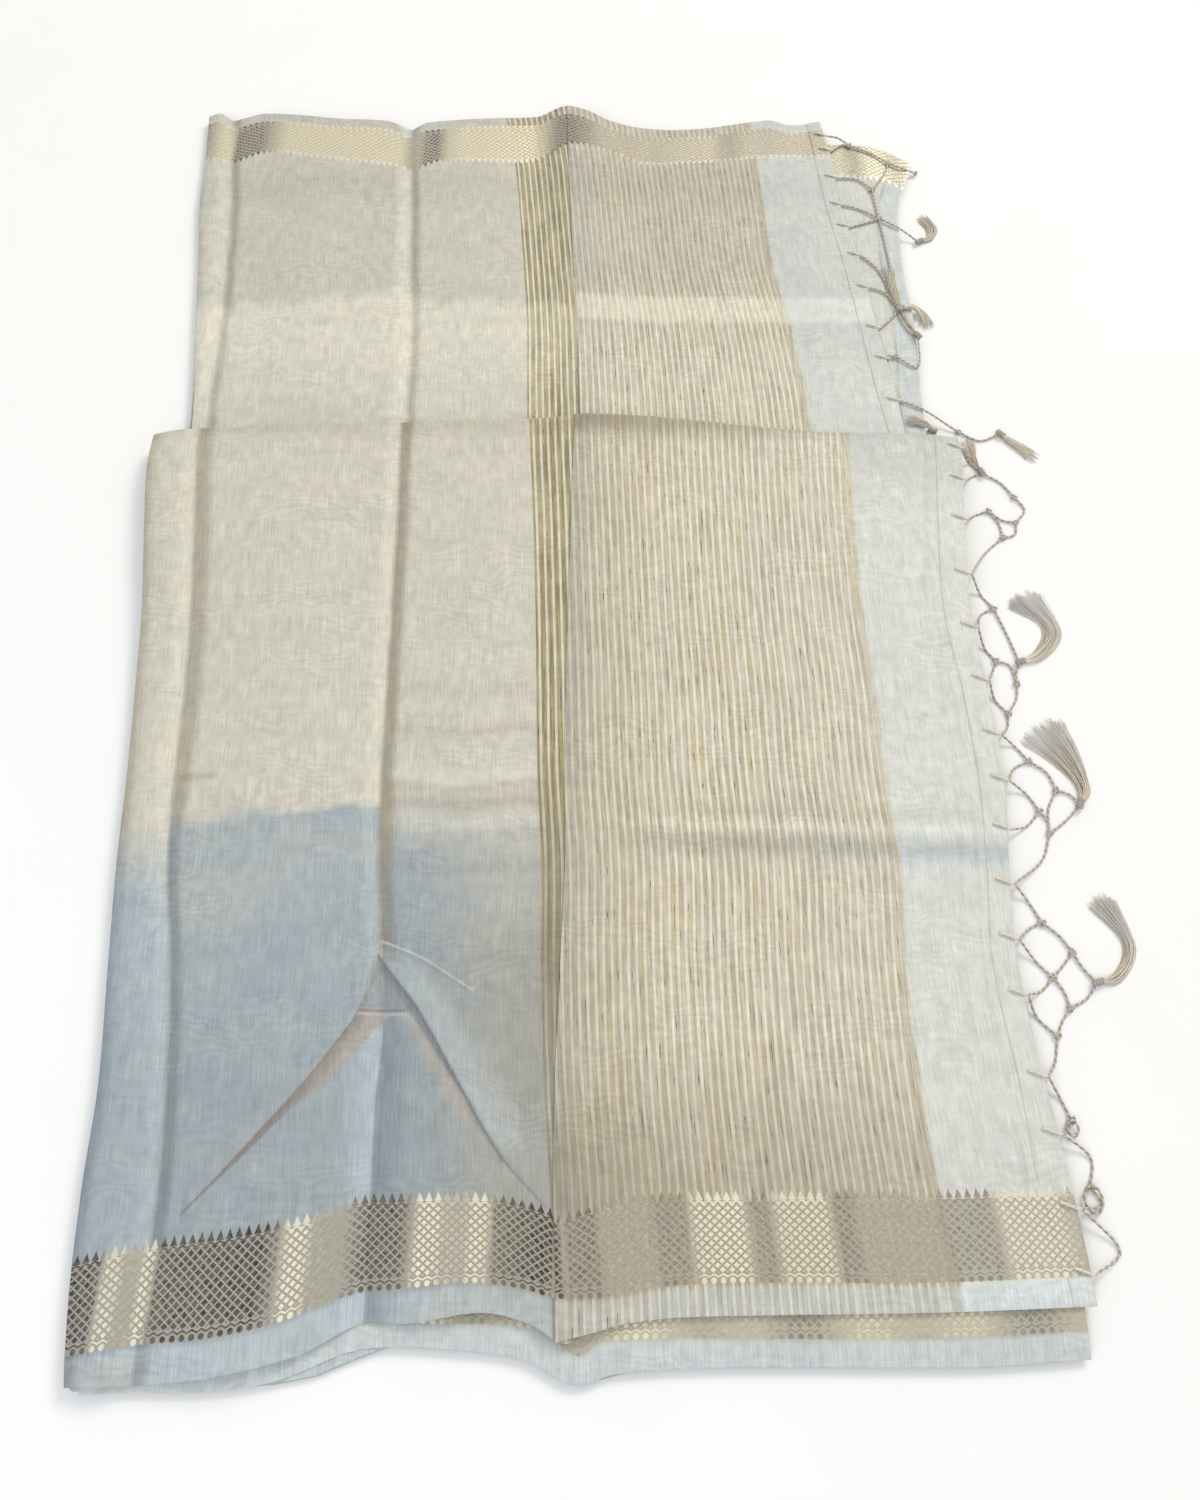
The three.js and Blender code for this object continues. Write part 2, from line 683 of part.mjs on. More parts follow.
function underLayerFar() {
  const shares = [0, 0.3, 0.6, 0.85, 1];
  const rows = 10;
  const grid = Array.from({ length: rows + 1 }, (_, j) =>
    shares.map((share) => {
      const edgeX = mix(farUnderInner(FAR_UNDER_READ), farGuide('under', FAR_UNDER_READ), share);
      const y = mix(FAR_START, edgeAt(UNDER_FAR_EDGE, edgeX), j / rows);
      const x = mix(farUnderInner(y), farGuide('under', y), share);
      return new THREE.Vector3(x, y, FAR_LEVEL - UNDER_DEPTH);
    }),
  );
  return clothWall(grid);
}

// The hidden layers. Rings climb the sides in scallops, one for each bundle of folded edges.
const SCALLOPS = { bundles: 3, inset: 1.1 };
const PLATEAU_INSET = 0.4;

function scallopRings() {
  const rings = [];
  for (let bundle = 0; bundle < SCALLOPS.bundles; bundle += 1) {
    rings.push({ inset: SCALLOPS.inset, share: bundle / SCALLOPS.bundles });
    rings.push({ inset: 0, share: (bundle + 0.3) / SCALLOPS.bundles });
    rings.push({ inset: 0, share: (bundle + 0.75) / SCALLOPS.bundles });
  }
  rings.push({ inset: SCALLOPS.inset, share: 1 });
  return rings;
}

// A slab with stepped, scalloped sides. place(u, v, inset, onTop) gives a plan point.
function slab({ across, along, place, bottomAt, shoulderAt, plateauAt }) {
  const rows = along.length;
  const columns = across.length;
  const border = [];
  for (let i = 0; i < columns; i += 1) border.push([0, i]);
  for (let j = 1; j < rows; j += 1) border.push([j, columns - 1]);
  for (let i = columns - 2; i >= 0; i -= 1) border.push([rows - 1, i]);
  for (let j = rows - 2; j > 0; j -= 1) border.push([j, 0]);
  const positions = [];
  const index = [];
  const addPoint = (plan, z) => {
    positions.push(plan.x, plan.y, z);
    return positions.length / 3 - 1;
  };
  const addFace = (inset, onTop, heightAt, facesUp) => {
    const ids = along.map((v) =>
      across.map((u) => {
        const plan = place(u, v, inset, onTop);
        return addPoint(plan, heightAt(plan.x, plan.y));
      }),
    );
    for (let j = 0; j < rows - 1; j += 1) {
      for (let i = 0; i < columns - 1; i += 1) {
        const [a, b, c, d] = [ids[j][i], ids[j][i + 1], ids[j + 1][i + 1], ids[j + 1][i]];
        index.push(...(facesUp ? [a, b, c, a, c, d] : [a, c, b, a, d, c]));
      }
    }
    return border.map(([j, i]) => ids[j][i]);
  };
  const addRing = ({ inset, share }) =>
    border.map(([j, i]) => {
      const plan = place(across[i], along[j], inset, false);
      return addPoint(plan, mix(bottomAt(plan.x, plan.y), shoulderAt(plan.x, plan.y), share));
    });
  const rings = scallopRings();
  const loops = [addFace(rings[0].inset, false, bottomAt, false)];
  rings.slice(1).forEach((ring) => loops.push(addRing(ring)));
  loops.push(
    border.map(([j, i]) => {
      const plan = place(across[i], along[j], 0, true);
      return addPoint(plan, shoulderAt(plan.x, plan.y));
    }),
  );
  loops.push(addFace(PLATEAU_INSET, true, plateauAt, true));
  for (let k = 0; k < loops.length - 1; k += 1) {
    for (let n = 0; n < border.length; n += 1) {
      const next = (n + 1) % border.length;
      const [a, b, c, d] = [loops[k][n], loops[k][next], loops[k + 1][next], loops[k + 1][n]];
      index.push(a, b, c, a, c, d);
    }
  }
  const geometry = new THREE.BufferGeometry();
  geometry.setAttribute('position', new THREE.Float32BufferAttribute(positions, 3));
  geometry.setIndex(index);
  return geometry;
}

// Near slab: from the near edge to a tongue inside the nose, which lies over the far slab
function nearSlab() {
  const across = [0, 0.16, 0.33, 0.46, 0.51, 0.545, 0.6, 0.7, 0.85, 1];
  const tongueRows = [TONGUE_START, TONGUE_START + 3, 275];
  const rowAt = [-310, -270, -220, -150, -80, 0, 60, 110, 150, 190, 220, ...tongueRows];
  const first = rowAt[0];
  const last = rowAt[rowAt.length - 1];
  const along = rowAt.map((y) => (y - first) / (last - first));
  const onSide = { left: 0, right: 0, near: 0, far: 0 };
  const onPlateau = { left: 8, right: 6, near: 36, far: 1 };
  const insideLip = 8;
  const insideNose = 6.5;
  const place = (u, v, inset, onTop) => {
    const y0 = mix(first, last, v);
    const clearOfLip = insideLip * ease(y0, TONGUE_START - 12, TONGUE_START);
    const extra = onTop ? onPlateau : onSide;
    const left = nearGuide('left', y0) + 1 + inset + Math.max(extra.left, clearOfLip);
    const right = nearGuide('end', y0) - SIDE_DROP.width - inset - extra.right;
    const x = mix(left, right, u);
    const nearY = edgeAt(UNDER_NEAR_EDGE, x) + NEAR_DROP.width + 2 + inset + extra.near;
    const farY = edgeAt(NOSE_LINE, x) - insideNose - inset - extra.far;
    const nearPull = (nearY - first) * (1 - ease(v, 0, 0.2));
    const farPull = v === 1 ? farY - last : 0;
    return { x, y: y0 + nearPull + farPull };
  };
  const plateauAt = (x, y) => {
    const ridgeLift = 0.6 * (readTable(RIDGE_HEIGHT, 'y', 'rise', y) - OVERLAP_RISE);
    return nearLevel(y) - WALL - CORE_GAP + ridgeLift * ridgeShare(nearGuide, x, y);
  };
  const tongueBottom = (x, y) => {
    const underLeg = farTop(x, y) + NOSE_CLEARANCE + WALL;
    return underLeg + 2 * CORE_GAP + bodyStep(nearGuide, x, y);
  };
  const bottomAt = (x, y) => (y > TONGUE_START + 1 ? tongueBottom(x, y) : 0);
  const shoulderAt = (x, y) => Math.max(nearLevel(y) - LIP_SHOULDER, bottomAt(x, y) + CORE_GAP);
  return slab({ across, along, place, bottomAt, shoulderAt, plateauAt });
}

// Far slab: from under the near slab to the far edge
function farSlab() {
  const across = [0, 0.25, 0.5, 0.75, 0.92, 1];
  const along = [0, 0.12, 0.35, 0.55, 0.75, 0.88, 1];
  const start = 205;
  const onPlateau = { left: 8, right: 3, far: 6 };
  const farEdge = table(
    'x y',
    [-336, 605],
    [-160, 590],
    [-28, 600],
    [90, 588],
    [150, 578],
    [215, 576],
    [257, 552],
  );
  const place = (u, v, inset, onTop) => {
    const left = (y) => farGuide('left', y) + 1 + inset + (onTop ? onPlateau.left : 0);
    const topRight = (y) => farUnderInner(y) - onPlateau.right - inset;
    const right = (y) => (onTop ? topRight(y) : farGuide('under', y) - 2 - inset);
    const farX = mix(left(FAR_UNDER_READ), right(FAR_UNDER_READ), u);
    const farY = edgeAt(farEdge, farX) - inset - (onTop ? onPlateau.far : 0);
    const y = mix(start + inset, farY, v);
    return { x: mix(left(y), right(y), u), y };
  };
  const bottomAt = () => 0;
  const shoulderAt = () => FAR_LEVEL - LIP_SHOULDER;
  const plateauAt = () => FAR_LEVEL - WALL - CORE_GAP;
  return slab({ across, along, place, bottomAt, shoulderAt, plateauAt });
}

function toManifold(geometry) {
  const bare = geometry.clone();
  bare.deleteAttribute('normal');
  bare.deleteAttribute('uv');
  const merged = mergeVertices(bare, 1e-4);
  const vertProperties = new Float32Array(merged.attributes.position.array);
  const triVerts = new Uint32Array(merged.index.array);
  return new wasm.Manifold(new wasm.Mesh({ numProp: 3, vertProperties, triVerts }));
}

function joined(geometries) {
  const solid = geometries.map(toManifold).reduce((sum, next) => sum.add(next));
  const mesh = solid.getMesh();
  const geometry = new THREE.BufferGeometry();
  geometry.setAttribute('position', new THREE.BufferAttribute(new Float32Array(mesh.vertProperties), 3));
  geometry.setIndex(new THREE.BufferAttribute(new Uint32Array(mesh.triVerts), 1));
  return geometry;
}

// A tube with a few flat sides along a curve through points
function tubeThrough(points, radius, sides, steps) {
  const corners = Array.from({ length: sides }, (_, i) => {
    const angle = (2 * Math.PI * i) / sides;
    return new THREE.Vector2(radius * Math.cos(angle), radius * Math.sin(angle));
  });
  const extrudePath = new THREE.CatmullRomCurve3(points);
  return new THREE.ExtrudeGeometry(new THREE.Shape(corners), { steps, extrudePath });
}

function knotBall(place) {
  return new THREE.OctahedronGeometry(KNOT_RADIUS, 0).translate(place.x, place.y, place.z);
}

// A tassel's bound head and its locks, fanned over the brush's sections in two levels
function tassel(head, sections, ground) {
  const toward = new THREE.Vector3(sections[0].x - head.x, sections[0].y - head.y, 0).normalize();
  const turn = new THREE.Quaternion().setFromUnitVectors(new THREE.Vector3(0, 1, 0), toward);
  const { radius, length, sides } = TASSEL_HEAD;
  const bound = new THREE.CylinderGeometry(radius, radius * 0.7, length, sides);
  bound.applyQuaternion(turn).translate(head.x, head.y, head.z + 0.4);
  const pieces = [bound];
  for (let i = 0; i < TASSEL_LOCKS; i += 1) {
    const side = (2 * i) / (TASSEL_LOCKS - 1) - 1;
    const upper = i % 2;
    const root = new THREE.Vector3(toward.y * side, -toward.x * side, upper - 0.2).addScaledVector(toward, 2);
    const points = [root.add(head)];
    sections.forEach(({ x, y, half }, section) => {
      const before = section === 0 ? head : sections[section - 1];
      const along = new THREE.Vector2(x - before.x, y - before.y).normalize();
      const endPull = section === sections.length - 1 ? -BRUSH_ARCH * side * side : 0;
      const px = x + along.y * half * side + along.x * endPull;
      const py = y - along.x * half * side + along.y * endPull;
      points.push(new THREE.Vector3(px, py, ground(px, py) + CORD_LIFT + UPPER_LIFT * upper));
    });
    pieces.push(tubeThrough(points, LOCK_RADIUS, 3, LOCK_STEPS));
  }
  return pieces;
}

// The point where a cord leaves its strip: a little out and down, but clear of what it lies on
function leavingStrip(root, ground) {
  const z = Math.max(root.z - 0.6, ground(root.x, root.y) + CORD_LIFT);
  return new THREE.Vector3(root.x + 3, root.y, z);
}

function fringe({ strip, rootAt, roots, knots, cords, tassels, ground }) {
  const places = {};
  for (const [name, y] of Object.entries(roots)) {
    places[name] = rootAt(y);
  }
  for (const { name, x, y } of knots) {
    places[name] = new THREE.Vector3(x, y, ground(x, y) + KNOT_LIFT);
  }
  const pieces = [strip, ...knots.map(({ name }) => knotBall(places[name]))];
  for (const { from, to, x, y } of cords) {
    const middle = new THREE.Vector3(x, y, ground(x, y) + CORD_LIFT);
    const outOf = (name) => (name in roots ? [leavingStrip(places[name], ground)] : []);
    const path = [places[from], ...outOf(from), middle, ...outOf(to), places[to]];
    pieces.push(tubeThrough(path, CORD_RADIUS, 4, CORD_STEPS));
  }
  tassels.forEach(({ head, sections }) => pieces.push(...tassel(places[head], sections, ground)));
  return joined(pieces);
}

const stripColumns = (guide) =>
  [0, STRIP.width].map((out) => ({ x: (y) => guide('end', y) + SEAM_GAP + out, turn: 0, inward: 0 }));

function fringeNear() {
  const face = { rise: HEM_RISE - STRIP.sink, nose: false };
  const strip = clothWall(nearGrid(stripColumns(nearGuide), PALLU_NEAR_EDGE, face), STRIP.thickness);
  const rootAt = (y) => {
    const x = nearGuide('end', y) + SEAM_GAP + STRIP.width / 2;
    return new THREE.Vector3(x, y, nearTop(x, y) + face.rise - STRIP.thickness / 2);
  };
  const ground = () => 0;
  const net = { roots: NEAR_ROOTS, knots: NEAR_KNOTS, cords: NEAR_CORDS, tassels: NEAR_TASSELS };
  return fringe({ strip, rootAt, ground, ...net });
}

function fringeFar() {
  const face = { rise: HEM_RISE - STRIP.sink };
  const strip = clothWall(farGrid(stripColumns(farGuide), PALLU_FAR_EDGE, face), STRIP.thickness);
  const rootAt = (y) => {
    const x = farGuide('end', y) + SEAM_GAP + STRIP.width / 2;
    return new THREE.Vector3(x, y, farTop(x, y) + face.rise - STRIP.thickness / 2);
  };
  const onUnder = (x, y) => 1 - ease(x, farGuide('under', y) + 1, farGuide('under', y) + 8);
  const ground = (x, y) => (FAR_LEVEL - UNDER_DEPTH) * onUnder(x, y);
  const net = { roots: FAR_ROOTS, knots: FAR_KNOTS, cords: FAR_CORDS, tassels: FAR_TASSELS };
  return fringe({ strip, rootAt, ground, ...net });
}

function addPiece(group, name, geometry, colour, roughness) {
  geometry.computeVertexNormals();
  const material = new THREE.MeshStandardMaterial({ color: colour, roughness, metalness: 0 });
  const mesh = new THREE.Mesh(geometry, material);
  mesh.name = name;
  group.add(mesh);
}

const IVORY = 0xe8e5d6;
const TAN_STRIPE = 0xd8ccab;
const HEM_WHITE = 0xeceadd;
const CORD_TAUPE = 0xb3a98f;

const group = new THREE.Group();
const nearStep = (x, y) => bodyStep(nearGuide, x, y);
const farStep = (x, y) => bodyStep(farGuide, x, y);
const hemFace = { rise: HEM_RISE };
addPiece(group, 'folded_layers', joined([nearSlab(), farSlab()]), IVORY, 0.8);
addPiece(group, 'under_layer_near', underLayerNear(), IVORY, 0.7);
addPiece(group, 'under_layer_far', underLayerFar(), IVORY, 0.7);
const bodyNear = nearGrid(bodyColumns(nearGuide), BODY_NEAR_EDGE, { step: nearStep });
addPiece(group, 'body_near', clothWall(bodyNear), IVORY, 0.65);
const palluNear = nearGrid(palluColumns(nearGuide), PALLU_NEAR_EDGE, {});
addPiece(group, 'pallu_near', clothWall(palluNear), TAN_STRIPE, 0.65);
const hemNear = nearGrid(hemColumns(nearGuide), PALLU_NEAR_EDGE, hemFace);
addPiece(group, 'hem_near', clothWall(hemNear, HEM_THICKNESS), HEM_WHITE, 0.65);
const bodyFar = farGrid(bodyColumns(farGuide), BODY_FAR_EDGE, { step: farStep });
addPiece(group, 'body_far', clothWall(bodyFar), IVORY, 0.65);
const palluFar = farGrid(palluColumns(farGuide), PALLU_FAR_EDGE, {});
addPiece(group, 'pallu_far', clothWall(palluFar), TAN_STRIPE, 0.65);
const hemFar = farGrid(hemColumns(farGuide), PALLU_FAR_EDGE, hemFace);
addPiece(group, 'hem_far', clothWall(hemFar, HEM_THICKNESS), HEM_WHITE, 0.65);
addPiece(group, 'fringe_near', fringeNear(), CORD_TAUPE, 0.6);
addPiece(group, 'fringe_far', fringeFar(), CORD_TAUPE, 0.6);

export default group;
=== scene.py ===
# %% [markdown]
# # A folded saree
# A saree is one long, uncut length of cloth. This one is sheer ivory cotton-silk with a woven metal
# thread border, a striped end, called the pallu, and a knotted fringe. It lies folded on a surface.
# A cloth simulation could fold such a length, but each fold would settle in a place of its own. The
# CAD model already gives every stretch that shows its place, so it is loaded first, and each piece of
# cloth is then made as a thin sheet in the space of its own solid.

# %% Load the frame
import random

import bpy
import numpy as np
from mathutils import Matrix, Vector


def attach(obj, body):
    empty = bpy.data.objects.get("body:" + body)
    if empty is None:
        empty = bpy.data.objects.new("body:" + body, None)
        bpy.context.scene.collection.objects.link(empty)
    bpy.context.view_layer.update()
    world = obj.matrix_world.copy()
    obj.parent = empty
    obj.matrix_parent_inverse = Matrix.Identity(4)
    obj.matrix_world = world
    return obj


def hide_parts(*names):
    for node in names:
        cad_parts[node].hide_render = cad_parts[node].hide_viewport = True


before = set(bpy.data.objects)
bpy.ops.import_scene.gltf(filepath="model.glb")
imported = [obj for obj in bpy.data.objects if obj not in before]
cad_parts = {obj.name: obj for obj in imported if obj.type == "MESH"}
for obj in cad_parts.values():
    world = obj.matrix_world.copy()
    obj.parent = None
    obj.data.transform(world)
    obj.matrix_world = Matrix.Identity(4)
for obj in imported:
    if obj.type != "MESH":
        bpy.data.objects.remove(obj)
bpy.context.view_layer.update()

MM = 0.001

# %% [markdown]
# ## Camera, light and floor
# The cloth was seen from 67 cm above its surface through a wide 28 mm lens that looks down at 64.5
# degrees. Sheer cloth shows its folds only where light rakes over it. A picture of a sky could light
# it, but lamps can be aimed: the main one stands behind and to the right, large enough to keep the
# shadows soft, and a cool one fills from the left.

# %% Camera
CAMERA_HEIGHT = 0.672
CAMERA_Y = -0.300
CAMERA_TILT = 64.5
CAMERA_LENS = 28
SENSOR_WIDTH = 36


def make_camera():
    data = bpy.data.cameras.new("camera")
    data.lens = CAMERA_LENS
    data.sensor_width = SENSOR_WIDTH
    camera = bpy.data.objects.new("camera", data)
    camera.location = (0, CAMERA_Y, CAMERA_HEIGHT)
    camera.rotation_euler = (np.radians(90 - CAMERA_TILT), 0, 0)
    bpy.context.collection.objects.link(camera)
    bpy.context.scene.camera = camera


make_camera()
bpy.context.scene.view_settings.view_transform = "Standard"

# %% Colours
def linear(hex_colour):
    """An sRGB hex colour as linear red, green, blue and alpha."""
    parts = [int(hex_colour[i:i + 2], 16) / 255 for i in (1, 3, 5)]
    return [c / 12.92 if c <= 0.04045 else ((c + 0.055) / 1.055) ** 2.4 for c in parts] + [1]


# %% One function adds a shader node
# The kinds of node used most often
MATH = "ShaderNodeMath"
MIX = "ShaderNodeMix"
NOISE = "ShaderNodeTexNoise"
RANGE = "ShaderNodeMapRange"


def node(tree, kind, inputs=(), output=0, **settings):
    """Add a node with its settings and its links or values, and return one of its outputs."""
    made = tree.nodes.new(kind)
    for name, value in settings.items():
        setattr(made, name, value)
    pairs = inputs.items() if isinstance(inputs, dict) else enumerate(inputs)
    for socket, value in pairs:
        if isinstance(value, bpy.types.NodeSocket):
            tree.links.new(value, made.inputs[socket])
        else:
            made.inputs[socket].default_value = value
    return made.outputs[output] if len(made.outputs) else made


def new_material(name):
    """An empty material and its node tree."""
    material = bpy.data.materials.new(name)
    material.use_nodes = True
    material.node_tree.nodes.clear()
    return material, material.node_tree


# %% Floor, lamps and sky
def make_floor():
    material, tree = new_material("matt_paper")
    grain = node(tree, NOISE, {"Scale": 60.0, "Detail": 3.0})
    tint = node(tree, MIX, {"Factor": grain, "A": linear("#f4f4f3"), "B": linear("#f8f8f7")}, 2,
                data_type="RGBA")
    shader = node(tree, "ShaderNodeBsdfPrincipled", {"Base Color": tint, "Roughness": 0.9})
    node(tree, "ShaderNodeOutputMaterial", [shader])
    bpy.ops.mesh.primitive_plane_add(size=6, location=(0, 0.14, 0))
    floor = bpy.context.object
    floor.name = "floor"
    floor.data.materials.append(material)


def add_lamp(name, place, target, size, power, colour):
    data = bpy.data.lights.new(name, "AREA")
    data.size = size
    data.energy = power
    data.color = linear(colour)[:3]
    lamp = bpy.data.objects.new(name, data)
    lamp.location = place
    aim = np.array(target) - np.array(place)
    lamp.rotation_euler = Vector(aim).to_track_quat("-Z", "Y").to_euler()
    bpy.context.collection.objects.link(lamp)


def make_light():
    add_lamp("window", (2.2, 3.0, 2.6), (0, 0.1, 0), 1.6, 104, "#fff6e6")
    add_lamp("fill", (-1.0, -1.4, 1.5), (0, 0.0, 0), 1.6, 15, "#eef4fc")
    world = bpy.data.worlds.new("studio")
    bpy.context.scene.world = world
    world.use_nodes = True
    background = world.node_tree.nodes["Background"]
    background.inputs["Color"].default_value = linear("#f7f8fa")
    background.inputs["Strength"].default_value = 0.70


make_floor()
make_light()
print("Camera, floor and lamps made")

# %% [markdown]
# ## The sizes of the cloth
# A saree is woven to a width and a border that hardly vary, so its folds can be measured against them.
# These are the sizes and guide lines of the CAD source, in millimetres. Only the step under the
# pallu's edge is smaller here, because this cloth is thinner than the CAD's walls. A guide line is a
# crease, a seam or an edge: the tables say how far across (x) each one lies at each distance (y). The
# sheets could be cut from one flat plane, but a grid between guide lines lets the weave follow the
# folds as the real threads do.

# %% Sizes in millimetres
# Thickness: real cloth of this kind is 0.15 mm, drawn thicker so that its edges show
WALL = 1.2
CLOTH = 0.35
HEM = 0.8
# Heights of the top face on the near half, at the nose and on the far half
NEAR_LEVEL = 7.6
NOSE_LEVEL = 14.0
FAR_LEVEL = 6.6
UNDER_DEPTH = 1.9
# The nose is the fold of the near half that lies over the far half
NOSE_RAMP = (30, 215)
NOSE_CLEARANCE = 0.7
NOSE_TUCK = 20
FAR_START = 244
# The left fold, and the ridge where the pallu's edge lies over the body
LIP_RADIUS = 1.35
LIP_TURN_IN = 9.0
RIDGE_LEFT = 28
RIDGE_RIGHT = 72
RIDGE_LAP = 9
OVERLAP_RISE = 0.8
# How far in, and how much, the top face sinks towards the near edge and the fringe end
NEAR_DROP = (18, 2.0)
SIDE_DROP = (18, 1.5)
# The pattern: stripes across the pallu, and the width of the border
STRIPES = 44
BORDER = 47.0


def table(columns, *rows):
    """A short table with named columns, kept as one array a column."""
    return {name: np.array(values, float) for name, values in zip(columns.split(), zip(*rows))}


NEAR_GUIDES = table(
    "y left crease1 crease2 stripes ridge plain hem end",
    (-340, -269, -235, -122, -24, -22, 188, 244, 256),
    (-290, -275, -236, -124, -25, -23, 187, 243, 256),
    (-240, -278, -237, -123, -27, -25, 181, 235, 253),
    (-190, -279, -241, -123, -31, -25, 178, 233, 248),
    (-120, -286, -250, -127, -34, -23, 178, 228, 243),
    (-60, -292, -261, -134, -35, -21, 181, 233, 247),
    (0, -296, -266, -137, -39, -22, 178, 236, 253),
    (60, -301, -269, -138, -41, -22, 178, 234, 251),
    (120, -306, -273, -139, -43, -21, 175, 229, 248),
    (190, -315, -280, -140, -46, -20, 175, 233, 252),
    (240, -321, -286, -142, -49, -19, 177, 238, 257),
    (280, -320, -289, -143, -51, -18, 179, 240, 257),
)
FAR_GUIDES = table(
    "y left crease1 crease2 stripes ridge plain hem end under",
    (240, -296, -285, -141, -52, -14, 155, 214, 223, 236),
    (310, -302, -288, -142, -54, -15, 152, 205, 219, 238),
    (380, -310, -290, -144, -56, -17, 145, 198, 211, 241),
    (440, -317, -294, -149, -60, -21, 136, 192, 206, 239),
    (510, -326, -300, -153, -66, -24, 133, 183, 195, 243),
    (560, -329, -306, -157, -71, -26, 130, 179, 193, 257),
    (620, -334, -312, -160, -81, -28, 127, 174, 185, 240),
)

# %% Outlines across the cloth
BODY_NEAR_EDGE = table(
    "x y",
    (-275, -337), (-235, -336), (-194, -332), (-152, -322), (-122, -308),
    (-97, -308), (-60, -303), (-34, -309), (-22, -317),
)
PALLU_NEAR_EDGE = table(
    "x y",
    (-24, -317), (-3, -312), (13, -308), (45, -305), (171, -303), (256, -300),
)
UNDER_NEAR_EDGE = table(
    "x y",
    (-275, -341), (-235, -339), (-198, -339), (-163, -334), (-122, -320), (-65, -321),
    (-38, -325), (-13, -336), (8, -331), (69, -328), (188, -328), (256, -324),
)
NOSE_LINE = table(
    "x y",
    (-330, 262), (-316, 268), (-290, 272), (-100, 279), (32, 283),
    (64, 280), (110, 274), (156, 269), (225, 267), (260, 264),
)
BODY_FAR_EDGE = table(
    "x y",
    (-336, 615), (-322, 618), (-311, 611), (-285, 618), (-224, 610), (-179, 609),
    (-160, 600), (-146, 608), (-75, 611), (-28, 617), (-18, 614),
)
PALLU_FAR_EDGE = table(
    "x y",
    (-28, 617), (-10, 612), (10, 603), (50, 598), (80, 599), (142, 610), (160, 604), (185, 609),
)
UNDER_FAR_EDGE = table("x y", (120, 584), (212, 582), (236, 577), (257, 560))
INNER_FAR_EDGE = table(
    "x y",
    (-336, 605), (-160, 590), (-28, 600), (90, 588), (150, 578), (215, 576), (257, 552),
)
RIDGE_HEIGHT = table("y rise", (-340, 3), (-100, 3.4), (120, 4.4), (280, 5))
FAR_RIDGE_HEIGHT = table("y rise", (240, 2), (300, 2.8), (450, 6), (620, 10))

# Where the woven border starts and where its temple tips end
NEAR_BORDER_START = table(
    "x y",
    (-270, -323), (-237, -318), (-201, -315), (-166, -308), (-126, -294), (-104, -292), (-67, -289),
    (-39, -292), (-24, -296), (0, -296), (31, -291), (71, -289), (173, -289), (250, -286),
)
NEAR_BORDER_TIPS = table(
    "x y",
    (-274, -276), (-237, -268), (-190, -262), (-154, -255), (-128, -246), (-107, -245), (-59, -245),
    (-27, -252), (-23, -256), (0, -249), (21, -245), (75, -244), (179, -243), (250, -241),
)
FAR_BORDER_TIPS = table(
    "x y",
    (-327, 560), (-307, 556), (-279, 568), (-219, 557), (-170, 553), (-153, 549), (-134, 558),
    (-97, 555), (-61, 556), (-28, 569), (-10, 568), (14, 562), (38, 554), (78, 556), (126, 562), (185, 565),
)
FAR_SELVEDGE = 10

# %% Swells and pressed creases
# Soft swells between neighbouring guide lines, and creases pressed across the cloth
NEAR_SWELLS = [
    ("left", "crease1", 2.2), ("crease1", "crease2", 3.4), ("crease2", "ridge", 2.6),
    ("ridge", "plain", 0.5), ("plain", "hem", 0.6),
]
FAR_SWELLS = [
    ("left", "crease1", 1.4), ("crease1", "crease2", 3.0), ("crease2", "ridge", 2.4),
    ("ridge", "plain", 1.0), ("plain", "hem", 0.8),
]
NEAR_PRESSES = table("y width depth", (-32, 12, 0.5), (246, 9, 0.5))
FAR_PRESSES = table("y width depth", (376, 12, 0.6))
print("Guide lines:", len(NEAR_GUIDES) - 1, "near and", len(FAR_GUIDES) - 1, "far")

# %% Small curves that the forms are made from
def mix(a, b, share):
    """The value that lies a share of the way from a to b."""
    return a + (b - a) * share


def ease(value, start, end):
    """From 0 at the start to 1 at the end, flat at both."""
    share = np.clip((value - start) / (end - start), 0, 1)
    return share * share * (3 - 2 * share)


def hill(distance, width):
    """A smooth hill of height 1 at distance 0 that is flat at its width."""
    share = np.clip(np.abs(distance) / width, 0, 1)
    return (1 + np.cos(np.pi * share)) / 2


def within(value, low, high, blur):
    """1 between low and high, fading to 0 over the blur outside them."""
    return ease(value, low - blur, low) * (1 - ease(value, high, high + blur))


def read_table(rows, key, column, at):
    """A smooth curve through one column of a table."""
    keys, values = rows[key], rows[column]
    last = len(keys) - 1
    order = np.arange(last + 1)
    before, after = np.maximum(order - 1, 0), np.minimum(order + 1, last)
    slopes = (values[after] - values[before]) / (keys[after] - keys[before])
    at = np.asarray(at, float)
    i = np.clip(np.searchsorted(keys, at) - 1, 0, last - 1)
    span = keys[i + 1] - keys[i]
    t = np.clip((at - keys[i]) / span, 0, 1)
    start = (1 + 2 * t) * (1 - t) ** 2
    bend = t * (1 - t) ** 2 * span * slopes[i] + t * t * (t - 1) * span * slopes[i + 1]
    return start * values[i] + (1 - start) * values[i + 1] + bend


def near_guide(name, y):
    """Where a guide line of the near half lies at each y."""
    return read_table(NEAR_GUIDES, "y", name, y)


def far_guide(name, y):
    """The same on the far half."""
    return read_table(FAR_GUIDES, "y", name, y)


def edge_at(edge, x):
    """Where an outline across the cloth lies at each x."""
    return read_table(edge, "x", "y", x)


